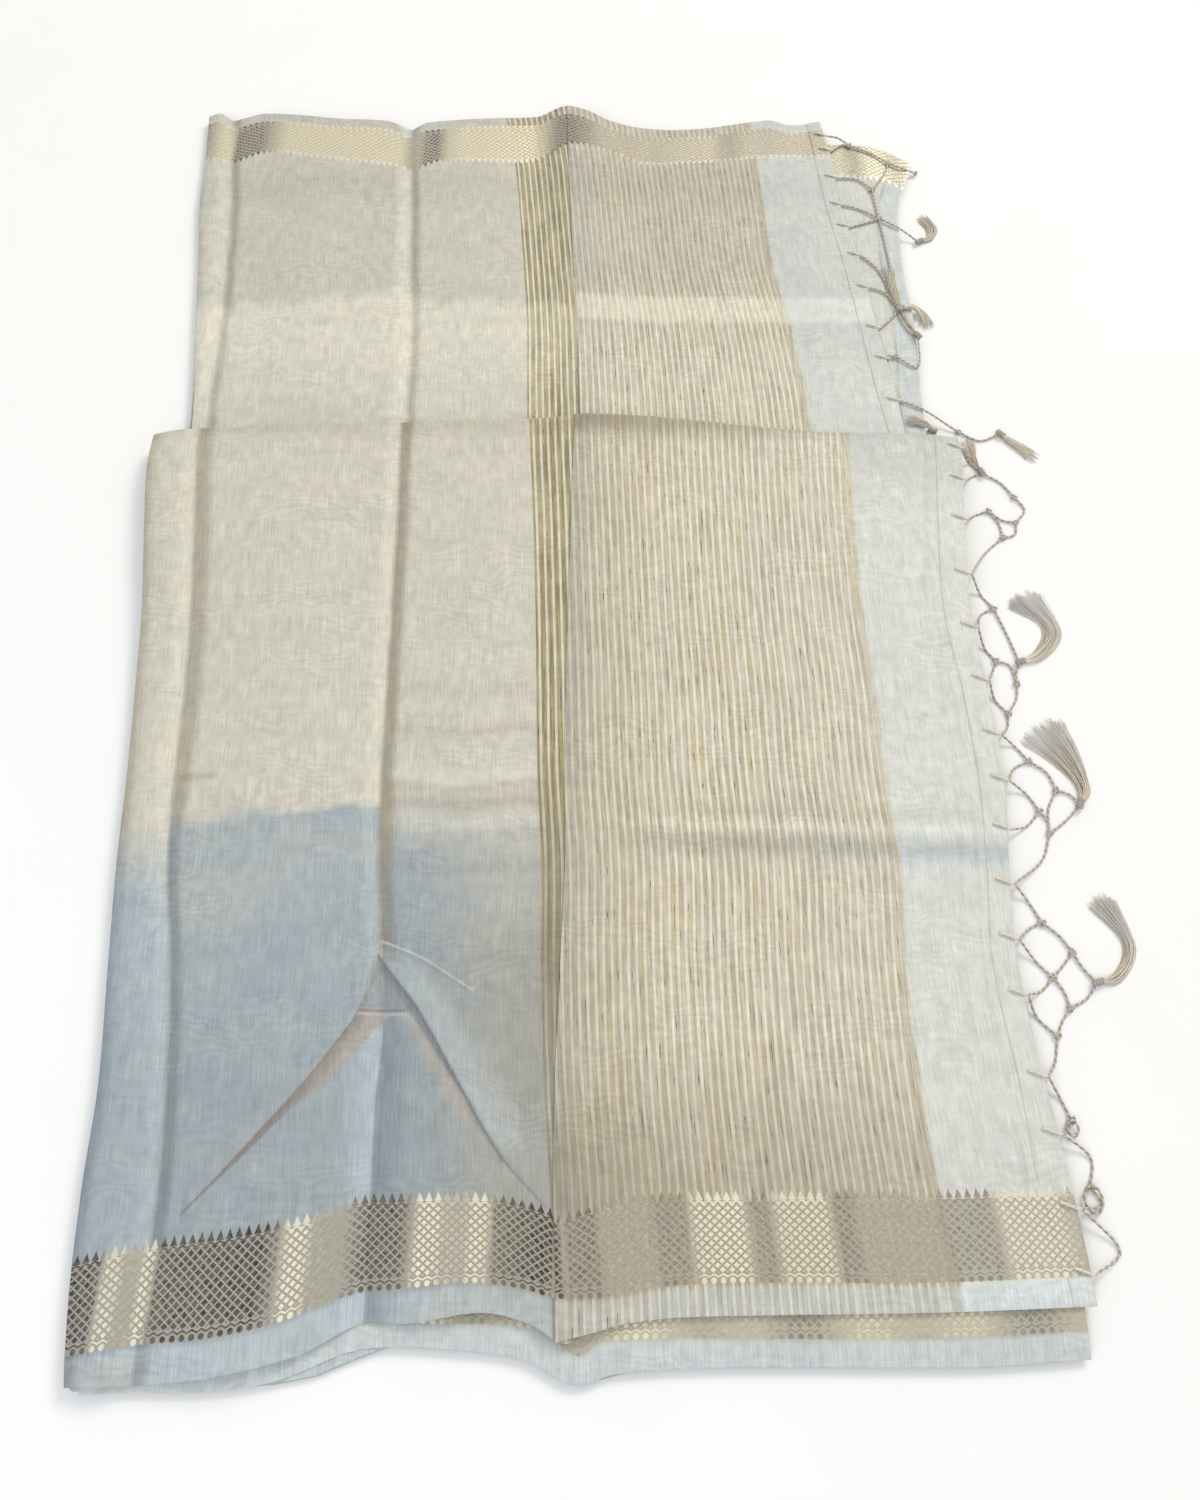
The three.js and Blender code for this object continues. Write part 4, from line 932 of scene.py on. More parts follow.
def dots(tree, u, w, height, radius):
    """A row of round dots."""
    across = distance_in_cell(tree, u, DIAMOND_PITCH, 0.5)
    x = product(tree, across, DIAMOND_PITCH)
    y = node(tree, MATH, [w, height], operation="SUBTRACT")
    place = node(tree, "ShaderNodeCombineXYZ", [x, y, 0.0])
    length = node(tree, "ShaderNodeVectorMath", [place], 1, operation="LENGTH")
    return softened(tree, length, radius + 0.25, radius - 0.25)


def temples(tree, u, w):
    """Small spikes with a broad foot, pointing into the cloth."""
    across = distance_in_cell(tree, u, DIAMOND_PITCH, 0.5)
    width = node(tree, RANGE, [w, TEMPLE_FOOT, BORDER, 0.42, 0.0])
    inside = node(tree, MATH, [width, across], operation="SUBTRACT")
    spike = softened(tree, inside, -0.03, 0.05)
    return product(tree, spike, band(tree, w, TEMPLE_FOOT, BORDER, 0.25))


def border_thread(tree, u, w, gloss):
    """Where metal thread lies on top, over the whole border."""
    motifs = [
        diamond_lattice(tree, u, w, gloss),
        zigzag(tree, u, w, OUTER_ZIGZAG),
        zigzag(tree, u, w, INNER_ZIGZAG),
        dots(tree, u, w, DOT_ROW, DOT_RADIUS),
        temples(tree, u, w),
    ]
    whole = motifs[0]
    for motif in motifs[1:]:
        whole = node(tree, MATH, [whole, motif], operation="MAXIMUM")
    return whole


# %% The pallu's stripes
def white_stripes(tree, s):
    """White stripes, each a third of the pitch wide, from the first to the last."""
    stripe = softened(tree, distance_in_cell(tree, s, 1.0), 0.20, 0.13)
    return product(tree, stripe, band(tree, s, 0.0, STRIPES - 0.6, 0.04))


def slub_marks(tree, u, v, s):
    """Dark, irregular threads of wild silk, lying in the tan ground along the stripes."""
    strong = softened(tree, streaks(tree, u, v, 0.72, 20.0, 7.0), 0.635, 0.665)
    ground = softened(tree, distance_in_cell(tree, s, 1.0), 0.18, 0.26)
    return product(tree, strong, ground, band(tree, s, 0.0, STRIPES + 0.05, 0.05))


# %% Colours of the cloth
# The sheer body: ivory, icy where the painted cool light lies, then in painted shade and painted light
IVORY = "#cfcbbc"
ICE = "#9da9af"
SHADED = "#837862"
SHADED_COOL = "#79838a"
LIT = "#f0e9d3"
LIT_COOL = "#c6d3da"
# The pallu's wild silk, and the olive ground of the first stripes, beside the ridge
TAN = "#b5aa90"
PALE_TAN = "#c9c1ab"
YELLOW_TAN = "#c6b68c"
OLIVE = "#8c8058"
PALE_OLIVE = "#b1a57a"
WHITE_STRIPE = "#e0dccd"
SLUB = "#4d4634"
# Metal thread and the ground between its threads, unlit and in the painted highlight
METAL_UNLIT = "#4c4337"
METAL_HIGHLIGHT = "#fbf2d8"
GROUND_UNLIT = "#9f9b91"
GROUND_HIGHLIGHT = "#a39a86"
FAR_GROUND_HIGHLIGHT = "#c3b894"
# Sewing
HEM_FOLD = "#c4beaa"
STITCH_HOLE = "#7f7b72"


def painted(tree, under, over, where):
    """One colour laid over another as far as a mask says. Colours are hex values or outputs."""
    ends = [linear(colour) if isinstance(colour, str) else colour for colour in (under, over)]
    return node(tree, MIX, {0: where, 6: ends[0], 7: ends[1]}, 2, data_type="RGBA")


# %% Uneven threads
def water_marks(tree, u, v):
    """Slow uneven waves across the cloth, where the threads of two layers beat."""
    bend = product(tree, streaks(tree, u, v, 38.0, 26.0, 3.0), 46.0)
    place = node(tree, MATH, [v, bend], operation="ADD")
    wave = node(tree, MATH, [product(tree, place, 0.95)], operation="SINE")
    return product(tree, wave, softened(tree, streaks(tree, u, v, 60.0, 45.0, 11.0), 0.42, 0.62))


def thread_grain(tree, u, v):
    """Light and dark streaks of uneven threads, mostly along the warp, with soft mottling."""
    warp = streaks(tree, u, v, 0.6, 24.0)
    weft = streaks(tree, v, u, 0.9, 30.0, 5.0)
    slub = streaks(tree, u, v, 0.55, 20.0, 21.0)
    mottle = streaks(tree, u, v, 7.0, 11.0, 31.0)
    spans = (
        (warp, 0.3, 0.7, 0.86, 1.13), (weft, 0.3, 0.7, 0.97, 1.03),
        (slub, 0.62, 0.70, 1.0, 1.12), (mottle, 0.35, 0.65, 0.93, 1.06),
    )
    return product(tree, *(node(tree, RANGE, list(span)) for span in spans)), warp


def stripe_colours(tree, u, v, s, ground, pale_ground):
    """Tan ground and white stripes, both uneven as hand-spun silk is."""
    wander = streaks(tree, u, v, 22.0, 45.0, 41.0)
    wander = node(tree, MATH, [wander, 0.12, -0.06], operation="MULTIPLY_ADD")
    white = white_stripes(tree, node(tree, MATH, [wander, s], operation="ADD"))
    bright = node(tree, RANGE, [streaks(tree, u, v, 4.0, 70.0, 43.0), 0.3, 0.7, 0.78, 1.0])

    pale = softened(tree, streaks(tree, u, v, 2.6, 55.0, 13.0), 0.36, 0.62)
    yellow = softened(tree, streaks(tree, u, v, 16.0, 60.0, 47.0), 0.45, 0.75)
    colour = painted(tree, ground, pale_ground, pale)
    colour = painted(tree, colour, YELLOW_TAN, product(tree, yellow, 0.6))
    colour = painted(tree, colour, WHITE_STRIPE, product(tree, white, bright))
    return painted(tree, colour, SLUB, slub_marks(tree, u, v, s))


# %% Light and shade of the tuck
# Painted shades, lights and highlights of the tuck; the key ridge is the painted highlight on the small
# ridge
TUCK_TONES = dict(
    apex="#8f9596", right_face_shade="#858e94", left_face_light="#b3c1ca", glow="#b0a99e", flap="#b0b8b9",
    fold_shadow="#767571", cast_shadow="#878c90", wedge_deep_shade="#857d73", wedge_outer_shade="#aaa39a",
    wedge_top_shade="#b5ada3", bar_shade="#77756f", bar_light="#bcbfbc", below_ridge_shadow="#84898a", ridge="#cac8be")


def paint_tuck_inside(tree, colour, y, inside, from_crease, from_right):
    """Painted shade and painted light on the cloth that stays down in the tuck and on the faces of the
    crease pressed into its middle.
    """
    apex = product(tree, inside, softened(tree, y, -150.0, -147.0))
    colour = painted(tree, colour, TUCK_TONES["apex"], product(tree, apex, 0.6))
    crease_down = product(tree, inside, softened(tree, y, -150.0, -166.0))
    lower_open = product(tree, softened(tree, y, -230.0, -256.0), softened(tree, y, -330.0, -300.0))
    crease_on = node(tree, MATH, [crease_down, lower_open], operation="MAXIMUM")
    right_face_shade = product(tree, crease_on, band(tree, from_crease, 0.0, 17.0, 0.6),
                         softened(tree, from_crease, 26.0, 2.0))
    colour = painted(tree, colour, TUCK_TONES["right_face_shade"], product(tree, right_face_shade, 0.55))
    left_face_light = product(tree, crease_on, softened(tree, from_crease, 0.5, -0.5),
                        softened(tree, from_crease, -22.0, -2.0))
    colour = painted(tree, colour, TUCK_TONES["left_face_light"], product(tree, left_face_light, 0.6))
    glow = product(tree, inside, softened(tree, y, -146.0, -152.0),
                   softened(tree, from_right, -15.0, -8.0), softened(tree, y, -235.0, -195.0))
    return painted(tree, colour, TUCK_TONES["glow"], product(tree, glow, 0.7))


def paint_tuck_fold(tree, colour, y, from_right):
    """A painted highlight on the standing fold on the right, and the two painted shadows on its left."""
    flap = product(tree, softened(tree, from_right, -0.4, 0.4), softened(tree, from_right, 30.0, 8.0),
                   band(tree, y, -225.0, -118.0, 12.0))
    colour = painted(tree, colour, TUCK_TONES["flap"], product(tree, flap, 0.6))
    narrow = product(tree, band(tree, from_right, -2.0, -0.5, 0.6), band(tree, y, -252.0, -116.0, 3.0))
    colour = painted(tree, colour, TUCK_TONES["fold_shadow"], product(tree, narrow, 0.5))
    cast_from = node(tree, RANGE, [y, -200.0, -150.0, -1.0, -6.5])
    beyond = node(tree, MATH, [from_right, cast_from], operation="SUBTRACT")
    wide = product(tree, softened(tree, beyond, -0.8, 0.8), softened(tree, from_right, 0.4, -0.6),
                   band(tree, y, -200.0, -120.0, 8.0))
    return painted(tree, colour, TUCK_TONES["cast_shadow"], product(tree, wide, 0.75))


def paint_tuck_wedge(tree, colour, y, place, from_left):
    """Painted shade on the narrow wedge of cloth that is folded under on the left."""
    across = node(tree, RANGE, [from_left, 0.0, 9.0, 0.0, 1.0])
    wedge = painted(tree, TUCK_TONES["wedge_deep_shade"], TUCK_TONES["wedge_outer_shade"], across)
    wedge = painted(tree, wedge, TUCK_TONES["wedge_top_shade"], softened(tree, y, -150.0, -140.0))
    return painted(tree, colour, wedge, product(tree, place, 0.9))


def paint_tuck_creases(tree, colour, y, x, from_left, from_right, from_ridge):
    """Painted shade and painted highlight on the level bar across the tuck and on the small ridge that runs
    off to its right.
    """
    bar = product(tree, softened(tree, from_left, 0.0, 1.5), softened(tree, from_right, -7.0, -9.5))
    dark_bar = product(tree, bar, band(tree, y, -148.4, -147.2, 0.5))
    colour = painted(tree, colour, TUCK_TONES["bar_shade"], product(tree, dark_bar, 0.6))
    light_bar = product(tree, bar, band(tree, y, -150.8, -149.2, 0.6))
    colour = painted(tree, colour, TUCK_TONES["bar_light"], product(tree, light_bar, 0.6))
    below = product(tree, band(tree, from_ridge, -3.0, -1.0, 0.9), band(tree, x, -126.0, -76.0, 4.0))
    colour = painted(tree, colour, TUCK_TONES["below_ridge_shadow"], product(tree, below, 0.3))
    ridge = product(tree, band(tree, from_ridge, -0.7, 0.7, 0.7), band(tree, x, -128.0, -73.0, 2.0))
    return painted(tree, colour, TUCK_TONES["ridge"], product(tree, ridge, 0.6))


def paint_tuck(tree, colour, y):
    """The light and shade of the tuck, laid along its own lines."""
    from_left, from_foot, from_right = split_attribute(tree, "tuck")
    from_crease, from_ridge, x = split_attribute(tree, "marks")
    opened = band(tree, y, -256.0, -111.0, 1.5)
    right_of_left = softened(tree, from_left, -0.4, 0.4)
    inside = product(tree, right_of_left, softened(tree, from_right, 0.4, -0.4), opened)
    folded_under = product(tree, right_of_left, softened(tree, from_foot, 0.5, -0.5), opened)
    colour = paint_tuck_inside(tree, colour, y, inside, from_crease, from_right)
    colour = paint_tuck_fold(tree, colour, y, from_right)
    colour = paint_tuck_wedge(tree, colour, y, folded_under, from_left)
    return paint_tuck_creases(tree, colour, y, x, from_left, from_right, from_ridge)


# %% The finish of the cloth
CLOTH_ROUGH = 0.62
METAL_ROUGH = 0.40
METAL_SHARE = 0.7


def paint_seam(tree, colour, h):
    """The folded edge of the hem."""
    return painted(tree, colour, HEM_FOLD, product(tree, band(tree, h, -0.7, 0.5, 0.5), 0.45))


def paint_shade(tree, colour, cool, shade):
    """Shade above 0.5 darkens the cloth and shade below 0.5 lightens it."""
    dark = node(tree, RANGE, [shade, 0.5, 1.0, 0.0, 0.95])
    light = node(tree, RANGE, [shade, 0.5, 0.0, 0.0, 0.95])
    colour = painted(tree, colour, painted(tree, SHADED, SHADED_COOL, cool), dark)
    return painted(tree, colour, painted(tree, LIT, LIT_COOL, cool), light)


def cloth_material(name, ground=TAN, pale_ground=PALE_TAN, highlight_ground=GROUND_HIGHLIGHT, tucked=False,
                   hemmed=False):
    """The whole cloth: body, stripes, shade, thread grain, border and the holes of the edge stitch."""
    material, tree = new_material(name)
    u, w, s, d, h, v, cool, shade, gloss = read_cloth(tree)
    grain, warp = thread_grain(tree, u, v)

    # Random cloudy mottling plus the painted cool light, which turns the body and the stripes icy
    cloud = streaks(tree, u, v, 34.0, 30.0, 9.0)
    cloud = node(tree, MATH, [cloud, 0.55, -0.27], operation="MULTIPLY_ADD")
    uneven = node(tree, MATH, [cloud, cool], operation="ADD", use_clamp=True)
    body = painted(tree, IVORY, ICE, uneven)
    striped = stripe_colours(tree, u, v, s, ground, pale_ground)
    striped = painted(tree, striped, ICE, product(tree, uneven, 0.5))
    colour = painted(tree, body, striped, band(tree, s, 0.0, STRIPES + 0.05, 0.05))
    colour = paint_shade(tree, colour, cool, shade)
    if tucked:
        colour = paint_tuck(tree, colour, v)
    if hemmed:
        colour = paint_seam(tree, colour, h)
    water = node(tree, MATH, [water_marks(tree, u, v), 0.05, 1.0], operation="MULTIPLY_ADD")
    threads = product(tree, grain, water)
    threads = node(tree, "ShaderNodeCombineXYZ", [threads, threads, threads])
    colour = node(tree, MIX, {0: 1.0, 6: colour, 7: threads}, 2, data_type="RGBA", blend_type="MULTIPLY")

    # A random sparkle added to the painted highlight
    sparkle = streaks(tree, u, w, 3.4, 3.0, 17.0)
    sparkle = node(tree, MATH, [sparkle, 0.5, -0.25], operation="MULTIPLY_ADD")
    gloss = node(tree, MATH, [sparkle, gloss], operation="ADD", use_clamp=True)
    metal = border_thread(tree, u, w, gloss)
    in_border = product(tree, band(tree, w, 0.2, 41.6, 0.3), 0.75)
    colour = painted(tree, colour, painted(tree, GROUND_UNLIT, highlight_ground, gloss), in_border)
    colour = painted(tree, colour, painted(tree, METAL_UNLIT, METAL_HIGHLIGHT, gloss), metal)
    holes = product(tree, dots(tree, u, d, 4.6, 0.42), band(tree, d, 4.2, 5.0, 0.2), 0.3)
    colour = painted(tree, colour, STITCH_HOLE, holes)

    relief = node(tree, MATH, [warp, metal], operation="ADD")
    bump = node(tree, "ShaderNodeBump", {"Strength": 0.35, "Distance": 0.00025, "Height": relief})
    rough = node(tree, MATH, [metal, METAL_ROUGH - CLOTH_ROUGH, CLOTH_ROUGH], operation="MULTIPLY_ADD")
    shader = node(tree, "ShaderNodeBsdfPrincipled", {
        "Base Color": colour, "Metallic": product(tree, metal, METAL_SHARE), "Roughness": rough,
        "Normal": bump, "Sheen Weight": 0.12, "Sheen Roughness": 0.4,
    })
    node(tree, "ShaderNodeOutputMaterial", [shader])
    print("Finish", name, "with", len(tree.nodes), "nodes")
    return material


cotton_silk = cloth_material("cotton_silk", OLIVE, PALE_OLIVE, FAR_GROUND_HIGHLIGHT)
tucked_silk = cloth_material("cotton_silk_tucked", OLIVE, PALE_OLIVE, tucked=True)
slub_silk = cloth_material("slub_silk_stripes", hemmed=True)

# %% [markdown]
# ## The near half
# The body cloth runs from the left fold to the ridge and on under the pallu's edge. Body and pallu are
# one cloth, but two sheets here: the pallu lies on top, so it needs an edge of its own. The rows are
# close together over the border and the tuck, where the form changes fast. The pallu starts at the
# ridge, and its hem is a separate band, since a hem is turned twice and stands a little higher.

# %% Body, pallu and hem of the near half
NEAR_ROWS = ((0.42, 150), (0.9, 62), (1.0, 18))
HEM_RISE = 0.15


def near_piece(name, columns, edge, tone_of, material, step=None, rise=0.0, thickness=CLOTH, tucked=False):
    """One sheet of the near half with all that its weave needs to know."""
    grid, cloth = near_grid(columns, edge, NEAR_ROWS, step, rise, tucked=tucked)
    x, y = cloth[..., 0], cloth[..., 1]
    weave, edges = near_weave(x, y, edge)
    cool, shade = tone_of(x, y)
    tone = (*add_selvedge(cool, shade, weave[1]), near_highlight(x, y))
    obj = make_sheet(name, grid, weave, edges, tone, material, thickness)
    if tucked:
        lines = [x - tuck_line(line, y) for line in (TUCK_LEFT, TUCK_FOOT, TUCK_RIGHT)]
        set_attribute(obj.data, "tuck", np.stack(lines, axis=-1).reshape(-1, 3))
        crease_x = tuck_line(TUCK_CREASE, np.maximum(y, -311))
        marks = (x - crease_x, y - read_table(SMALL_RIDGE, "x", "y", x), x)
        set_attribute(obj.data, "marks", np.stack(marks, axis=-1).reshape(-1, 3))
    return obj


body_strips = strip_columns(
    ("left", "crease1", 22), ("crease1", "crease2", 72),
    ("crease2", "stripes", 60), ("stripes", "ridge", 8))
lap = [("ridge", "ridge", 0, RIDGE_LAP * share, 0.0, 0.0) for share in (0.5, 1)]
body_near = near_piece("near_panels", fold_columns() + body_strips[1:] + lap, BODY_NEAR_EDGE,
                       near_body_tone, tucked_silk, step=near_step, tucked=True)
settle(body_near, "ivory_cloth", "body_near")

hem_lap = [("hem", "hem", 0, 1.5, 0.0, 0.0)]
pallu_strips = strip_columns(("ridge", "plain", 104), ("plain", "hem", 26)) + hem_lap
pallu_near = near_piece("near_pallu", pallu_strips, PALLU_NEAR_EDGE, near_pallu_tone, slub_silk)
settle(pallu_near, "striped_cloth", "pallu_near")

hem_strips = strip_columns(("hem", "end", 10))
hem_near = near_piece("near_hem", hem_strips, PALLU_NEAR_EDGE, near_pallu_tone, slub_silk,
                      rise=HEM_RISE, thickness=HEM)
settle(hem_near, "hem_cloth", "hem_near")

# %% [markdown]
# ## The far half
# The same three pieces again, further away. They start under the nose of the near half, where nothing
# shows them, and run to the far selvedge, where the border lies the other way round. A mirrored copy
# of the near half would be quicker, but the real creases run on across both halves without a mirror.

# %% Body, pallu and hem of the far half
FAR_ROWS = ((0.12, 6), (0.8, 84), (1.0, 44))


def far_highlight(x):
    """The painted highlight on the metal thread along the far border."""
    return np.clip(np.interp(x, FAR_HIGHLIGHT["x"], FAR_HIGHLIGHT["gloss"]), 0, 1)


def far_piece(name, columns, edge, material, step=None, rise=0.0, thickness=CLOTH):
    """One sheet of the far half. Its selvedge gets a little more painted cool light than the rest."""
    grid, cloth = far_grid(columns, edge, FAR_ROWS, step, rise)
    x, y = cloth[..., 0], cloth[..., 1]
    weave, edges = far_weave(x, y, edge)
    cool, shade = far_tone(x, y)
    tone = (np.maximum(cool, 0.3 * (1 - ease(weave[1], -3, 0))), shade, far_highlight(x))
    return make_sheet(name, grid, weave, edges, tone, material, thickness)


far_body_strips = strip_columns(
    ("left", "crease1", 14), ("crease1", "crease2", 62),
    ("crease2", "stripes", 40), ("stripes", "ridge", 22))
body_far = far_piece("far_panels", fold_columns() + far_body_strips[1:] + lap, BODY_FAR_EDGE,
                     cotton_silk, step=far_step)
settle(body_far, "ivory_cloth", "body_far")
far_pallu_strips = strip_columns(("ridge", "plain", 84), ("plain", "hem", 26)) + hem_lap
pallu_far = far_piece("far_pallu", far_pallu_strips, PALLU_FAR_EDGE, slub_silk)
settle(pallu_far, "striped_cloth", "pallu_far")
hem_far = far_piece("far_hem", hem_strips, PALLU_FAR_EDGE, slub_silk, rise=HEM_RISE, thickness=HEM)
settle(hem_far, "hem_cloth", "hem_far")

# %% [markdown]
# ## Layers below
# Past the near edge and past the far fringe the second layer shows with a border of its own. Below it
# the cloth goes back and forth in zigzag, and each pass ends in a rounded fold. A solid block with
# painted lines would do from above, but its sides would look cut. So one ribbon is folded that way for
# each part of the stack, and the sides then show real layers.

# %% Second layers
UNDER_LAP = 50
FAR_UNDER_START = 12
FAR_UNDER_FOLD = 16
# A place before the first stripe, so that none is drawn
NO_STRIPES = -5
UNDER_NEAR_START = table(
    "x y",
    (-275, -326), (-200, -325), (-120, -307), (-86, -308), (-45, -309), (-29, -312), (-12, -323),
    (0, -317), (30, -315), (170, -315), (256, -311),
)


def under_near():
    """The strip that shows past the near edge, with its lap beneath."""
    across = np.linspace(-262, 250, 150)[None, :]
    down = np.linspace(0, 1, 26)[:, None] ** 1.3
    x = across + 0 * down
    y = edge_at(UNDER_NEAR_EDGE, x) + UNDER_LAP * down
    z = near_level(y) - UNDER_DEPTH - near_drop(x, y) + 0.25 * ripples(x, y + 9)
    start = edge_at(UNDER_NEAR_START, x)
    first = near_guide("stripes", y)
    weave = (x - first + 1.7, y - start, 0 * x + NO_STRIPES)
    edges = (y - edge_at(UNDER_NEAR_EDGE, x), 0 * x, y)
    # Painted highlights along the metal thread of the second layer's border, and an even painted cool light
    gloss = 0.6 + 0.3 * np.sin(x / 13) * np.sin(x / 31 + 1)
    grid = np.stack([x, y, z], axis=-1)
    tone = (*add_selvedge(0.5 + 0 * x, 0.5 + 0 * x, weave[1], 0.3), gloss)
    return make_sheet("near_second_layer", grid, weave, edges, tone, cotton_silk)


def far_under_inner(y):
    """How far the far strip runs beneath the pallu."""
    return far_guide("plain", y) + FAR_UNDER_START


def under_far():
    """The strip that shows past the far fringe, with a painted shade line along a fold a little in from its
    edge.
    """
    share = np.linspace(0, 1, 46)[None, :]
    down = np.linspace(0, 1, 120)[:, None]
    edge_x = mix(far_under_inner(560.0), far_guide("under", 560.0), share)
    y = mix(FAR_START, edge_at(UNDER_FAR_EDGE, edge_x), down)
    x = mix(far_under_inner(y), far_guide("under", y), share)
    z = FAR_LEVEL - UNDER_DEPTH + 0.2 * ripples(x, y)
    outer = edge_at(UNDER_FAR_EDGE, x) - 8
    weave = (x - 100, outer - y + 14, 0 * x + NO_STRIPES)
    edges = (edge_at(UNDER_FAR_EDGE, x) - y, 0 * x, y)
    grid = np.stack([x, y, z], axis=-1)
    # Painted shade along the fold line, more painted cool light and painted light beyond it, and painted
    # highlights on the border
    fold = far_guide("under", y) - FAR_UNDER_FOLD
    cool = 0.42 + 0.3 * ease(x, fold, fold + 3)
    shade = mix(0.32, 0.2, ease(x, fold, fold + 3)) + 0.4 * hill(x - fold, 1.3)
    tone = (cool, shade, 0.55 + 0.35 * np.sin(x / 7) * np.sin(x / 17 + 1))
    return make_sheet("far_second_layer", grid, weave, edges, tone, cotton_silk)


under_layer_near = settle(under_near(), "ivory_cloth", "under_layer_near")
under_layer_far = settle(under_far(), "ivory_cloth", "under_layer_far")

# %% The zigzag of hidden layers
RIBBON = 0.3
ACROSS_STEPS = 26
# How far each rounded fold stands out past the end of its passes
BULGE = 0.9


def folded_ribbon(name, passes, first_side, left, right, level, starts, ends, rows):
    """A ribbon that goes back and forth. level(share, x, y) is its height, from 0 below to 1 above."""
    across = np.linspace(0, 1, ACROSS_STEPS)
    turns = np.radians([-60, -20, 20, 60])
    gap = 1 / passes
    profile = []
    for k in range(passes):
        forward = (k + first_side) % 2 == 0
        middle = (k + 0.5) * gap
        profile += [(u if forward else 1 - u, middle, 0.0, k) for u in across]
        if k < passes - 1:
            side = 1.0 if forward else 0.0
            out = 1.0 if forward else -1.0
            profile += [(side, middle + gap * (0.5 + 0.5 * np.sin(a)), out * np.cos(a), k) for a in turns]
    u, share, bulge, layer = (np.array(column)[None, :] for column in zip(*profile))
    uneven = 2.2 * np.sin(layer * 2.4 + 1)
    down = np.linspace(0, 1, rows)[:, None]
    rough_x = mix(left(0.0), right(0.0), u)
    y = mix(starts(rough_x) + 1.2 * np.sin(layer * 1.9), ends(rough_x) + np.sin(layer * 2.7), down)
    x_left, x_right = left(y) + np.abs(uneven) * 0.5, right(y) - np.abs(uneven)
    x = mix(x_left, x_right, u) + bulge * BULGE
    z = level(share, x, y) + 0 * x
    grid = np.stack([x, y, z], axis=-1)
    weave = (x + 3 * layer, 0 * x + 60, 0 * x + NO_STRIPES)
    edges = (20 + 0 * x, 0 * x, y)
    # Painted cool light and painted light on the hidden layers, with no painted highlight
    tone = (0.75 + 0 * x, 0.3 + 0 * x, 0 * x)
    return make_sheet(name, grid, weave, edges, tone, cotton_silk, RIBBON)


def stack_top(x, y):
    """The top of the hidden layers, which lies lower where the second layer laps over them."""
    lap_end = edge_at(UNDER_NEAR_EDGE, x) + UNDER_LAP
    covered = ease(y, lap_end, lap_end + 12)
    return near_level(y) - near_drop(x, y) - 2.6 + 0.6 * covered


# Passes of the near ribbons, of the lower one of them, and of the far ribbon
NEAR_PASSES = 7
LOW_PASSES = 4
FAR_PASSES = 4
FLOOR_GAP = 0.35
# Where the upper near passes climb onto the far half
TONGUE = (222, 238)


def low_level(share, x, y):
    """Heights of the lower near passes, from the floor up."""
    return mix(FLOOR_GAP, stack_top(x, y) * LOW_PASSES / NEAR_PASSES, share)


def high_level(share, x, y):
    """Heights of the upper near passes, which run on over the far half at the nose."""
    below = stack_top(x, y) * LOW_PASSES / NEAR_PASSES
    over_far = far_top(x, y) + NOSE_CLEARANCE + WALL + 1.2 + near_step(x, y)
    return mix(mix(below, over_far, ease(y, *TONGUE)), stack_top(x, y), share)


def stack_left(y):
    """The left end of the near passes, a little inside the top layer."""
    return near_guide("left", y) + 2


def stack_right(y):
    """The right end of the near passes, inside the hem."""
    return near_guide("end", y) - 8


near_layers = folded_ribbon(
    "near_layers", LOW_PASSES, 0, stack_left, stack_right, low_level,
    lambda x: edge_at(UNDER_NEAR_EDGE, x) + 3, lambda x: 235 + 0 * x, 70)
near_layers_top = folded_ribbon(
    "near_layers_top", NEAR_PASSES - LOW_PASSES, 0, stack_left, stack_right, high_level,
    lambda x: edge_at(UNDER_NEAR_EDGE, x) + 3.5, lambda x: edge_at(NOSE_LINE, x) - 7, 76)
far_layers = folded_ribbon(
    "far_layers", FAR_PASSES, 1, lambda y: far_guide("left", y) + 2, lambda y: far_guide("under", y) - 4,
    lambda share, x, y: mix(FLOOR_GAP, FAR_LEVEL - 2.7, share),
    lambda x: 240 + 0 * x, lambda x: edge_at(INNER_FAR_EDGE, x) - 1, 60)
settle(near_layers, "ivory_cloth", "folded_layers")
settle(near_layers_top, "ivory_cloth")
settle(far_layers, "ivory_cloth")

# %% [markdown]
# ## The fringe
# The warp ends are twisted in two plies into cords, knotted to each other in a net, and gathered into
# tassels. Curve objects with a bevel could draw the cords round, but a silk cord shows its plies. So a
# cord is a tube whose section has two lobes that turn along its way, and the twist is real. Knots are
# small overhand knots, drawn as trefoils. A tassel has a bound head and a brush of loose threads.

# %% Where the fringe starts, knots and hangs
NEAR_ROOTS = dict(
    r1=254, r2=226, r3=192, r4=148, r5=107, r6=68, r7=29, r8=-3, r9=-36, r10=-71,
    r11=-105, r12=-138, r13=-184, r14=-215, r15=-253, r16=-285)
FAR_ROOTS = dict(s1=592, s2=574, s3=541, s4=509, s5=484, s6=452, s7=417, s8=375, s9=344, s10=303)
NEAR_KNOTS = dict(
    d1=(274, 240), d2=(294, 219), d3=(292, 197), d4=(274, 207), d5=(281, 184),
    a1=(266, 126), a2=(262, 85), a3=(264, 46), a4=(273, 68), headA=(277, 84),
    b1=(272, 12), b2=(273, -22), b3=(286, -8), b4=(277, -37), headB=(299, -18),
    c1=(263, -94), c2=(264, -127), c3=(261, -161), c4=(278, -112), c5=(271, -145), headC=(289, -130),
    e1=(261, -207), e2=(265, -242))
FAR_KNOTS = dict(
    m1=(209, 580), m2=(240, 558), end1=(262, 551), m3=(223, 527), m4=(226, 493), headF=(256, 472),
    headG=(231, 394), m5=(242, 366), m6=(223, 346), m7=(262, 278), low=(244, 278), headH=(292, 276))

# Slack loops: middle, half width and half length
NEAR_LOOPS = [(260.5, -211.5, 3.0, 4.2), (265.3, -248.3, 4.8, 7.0)]

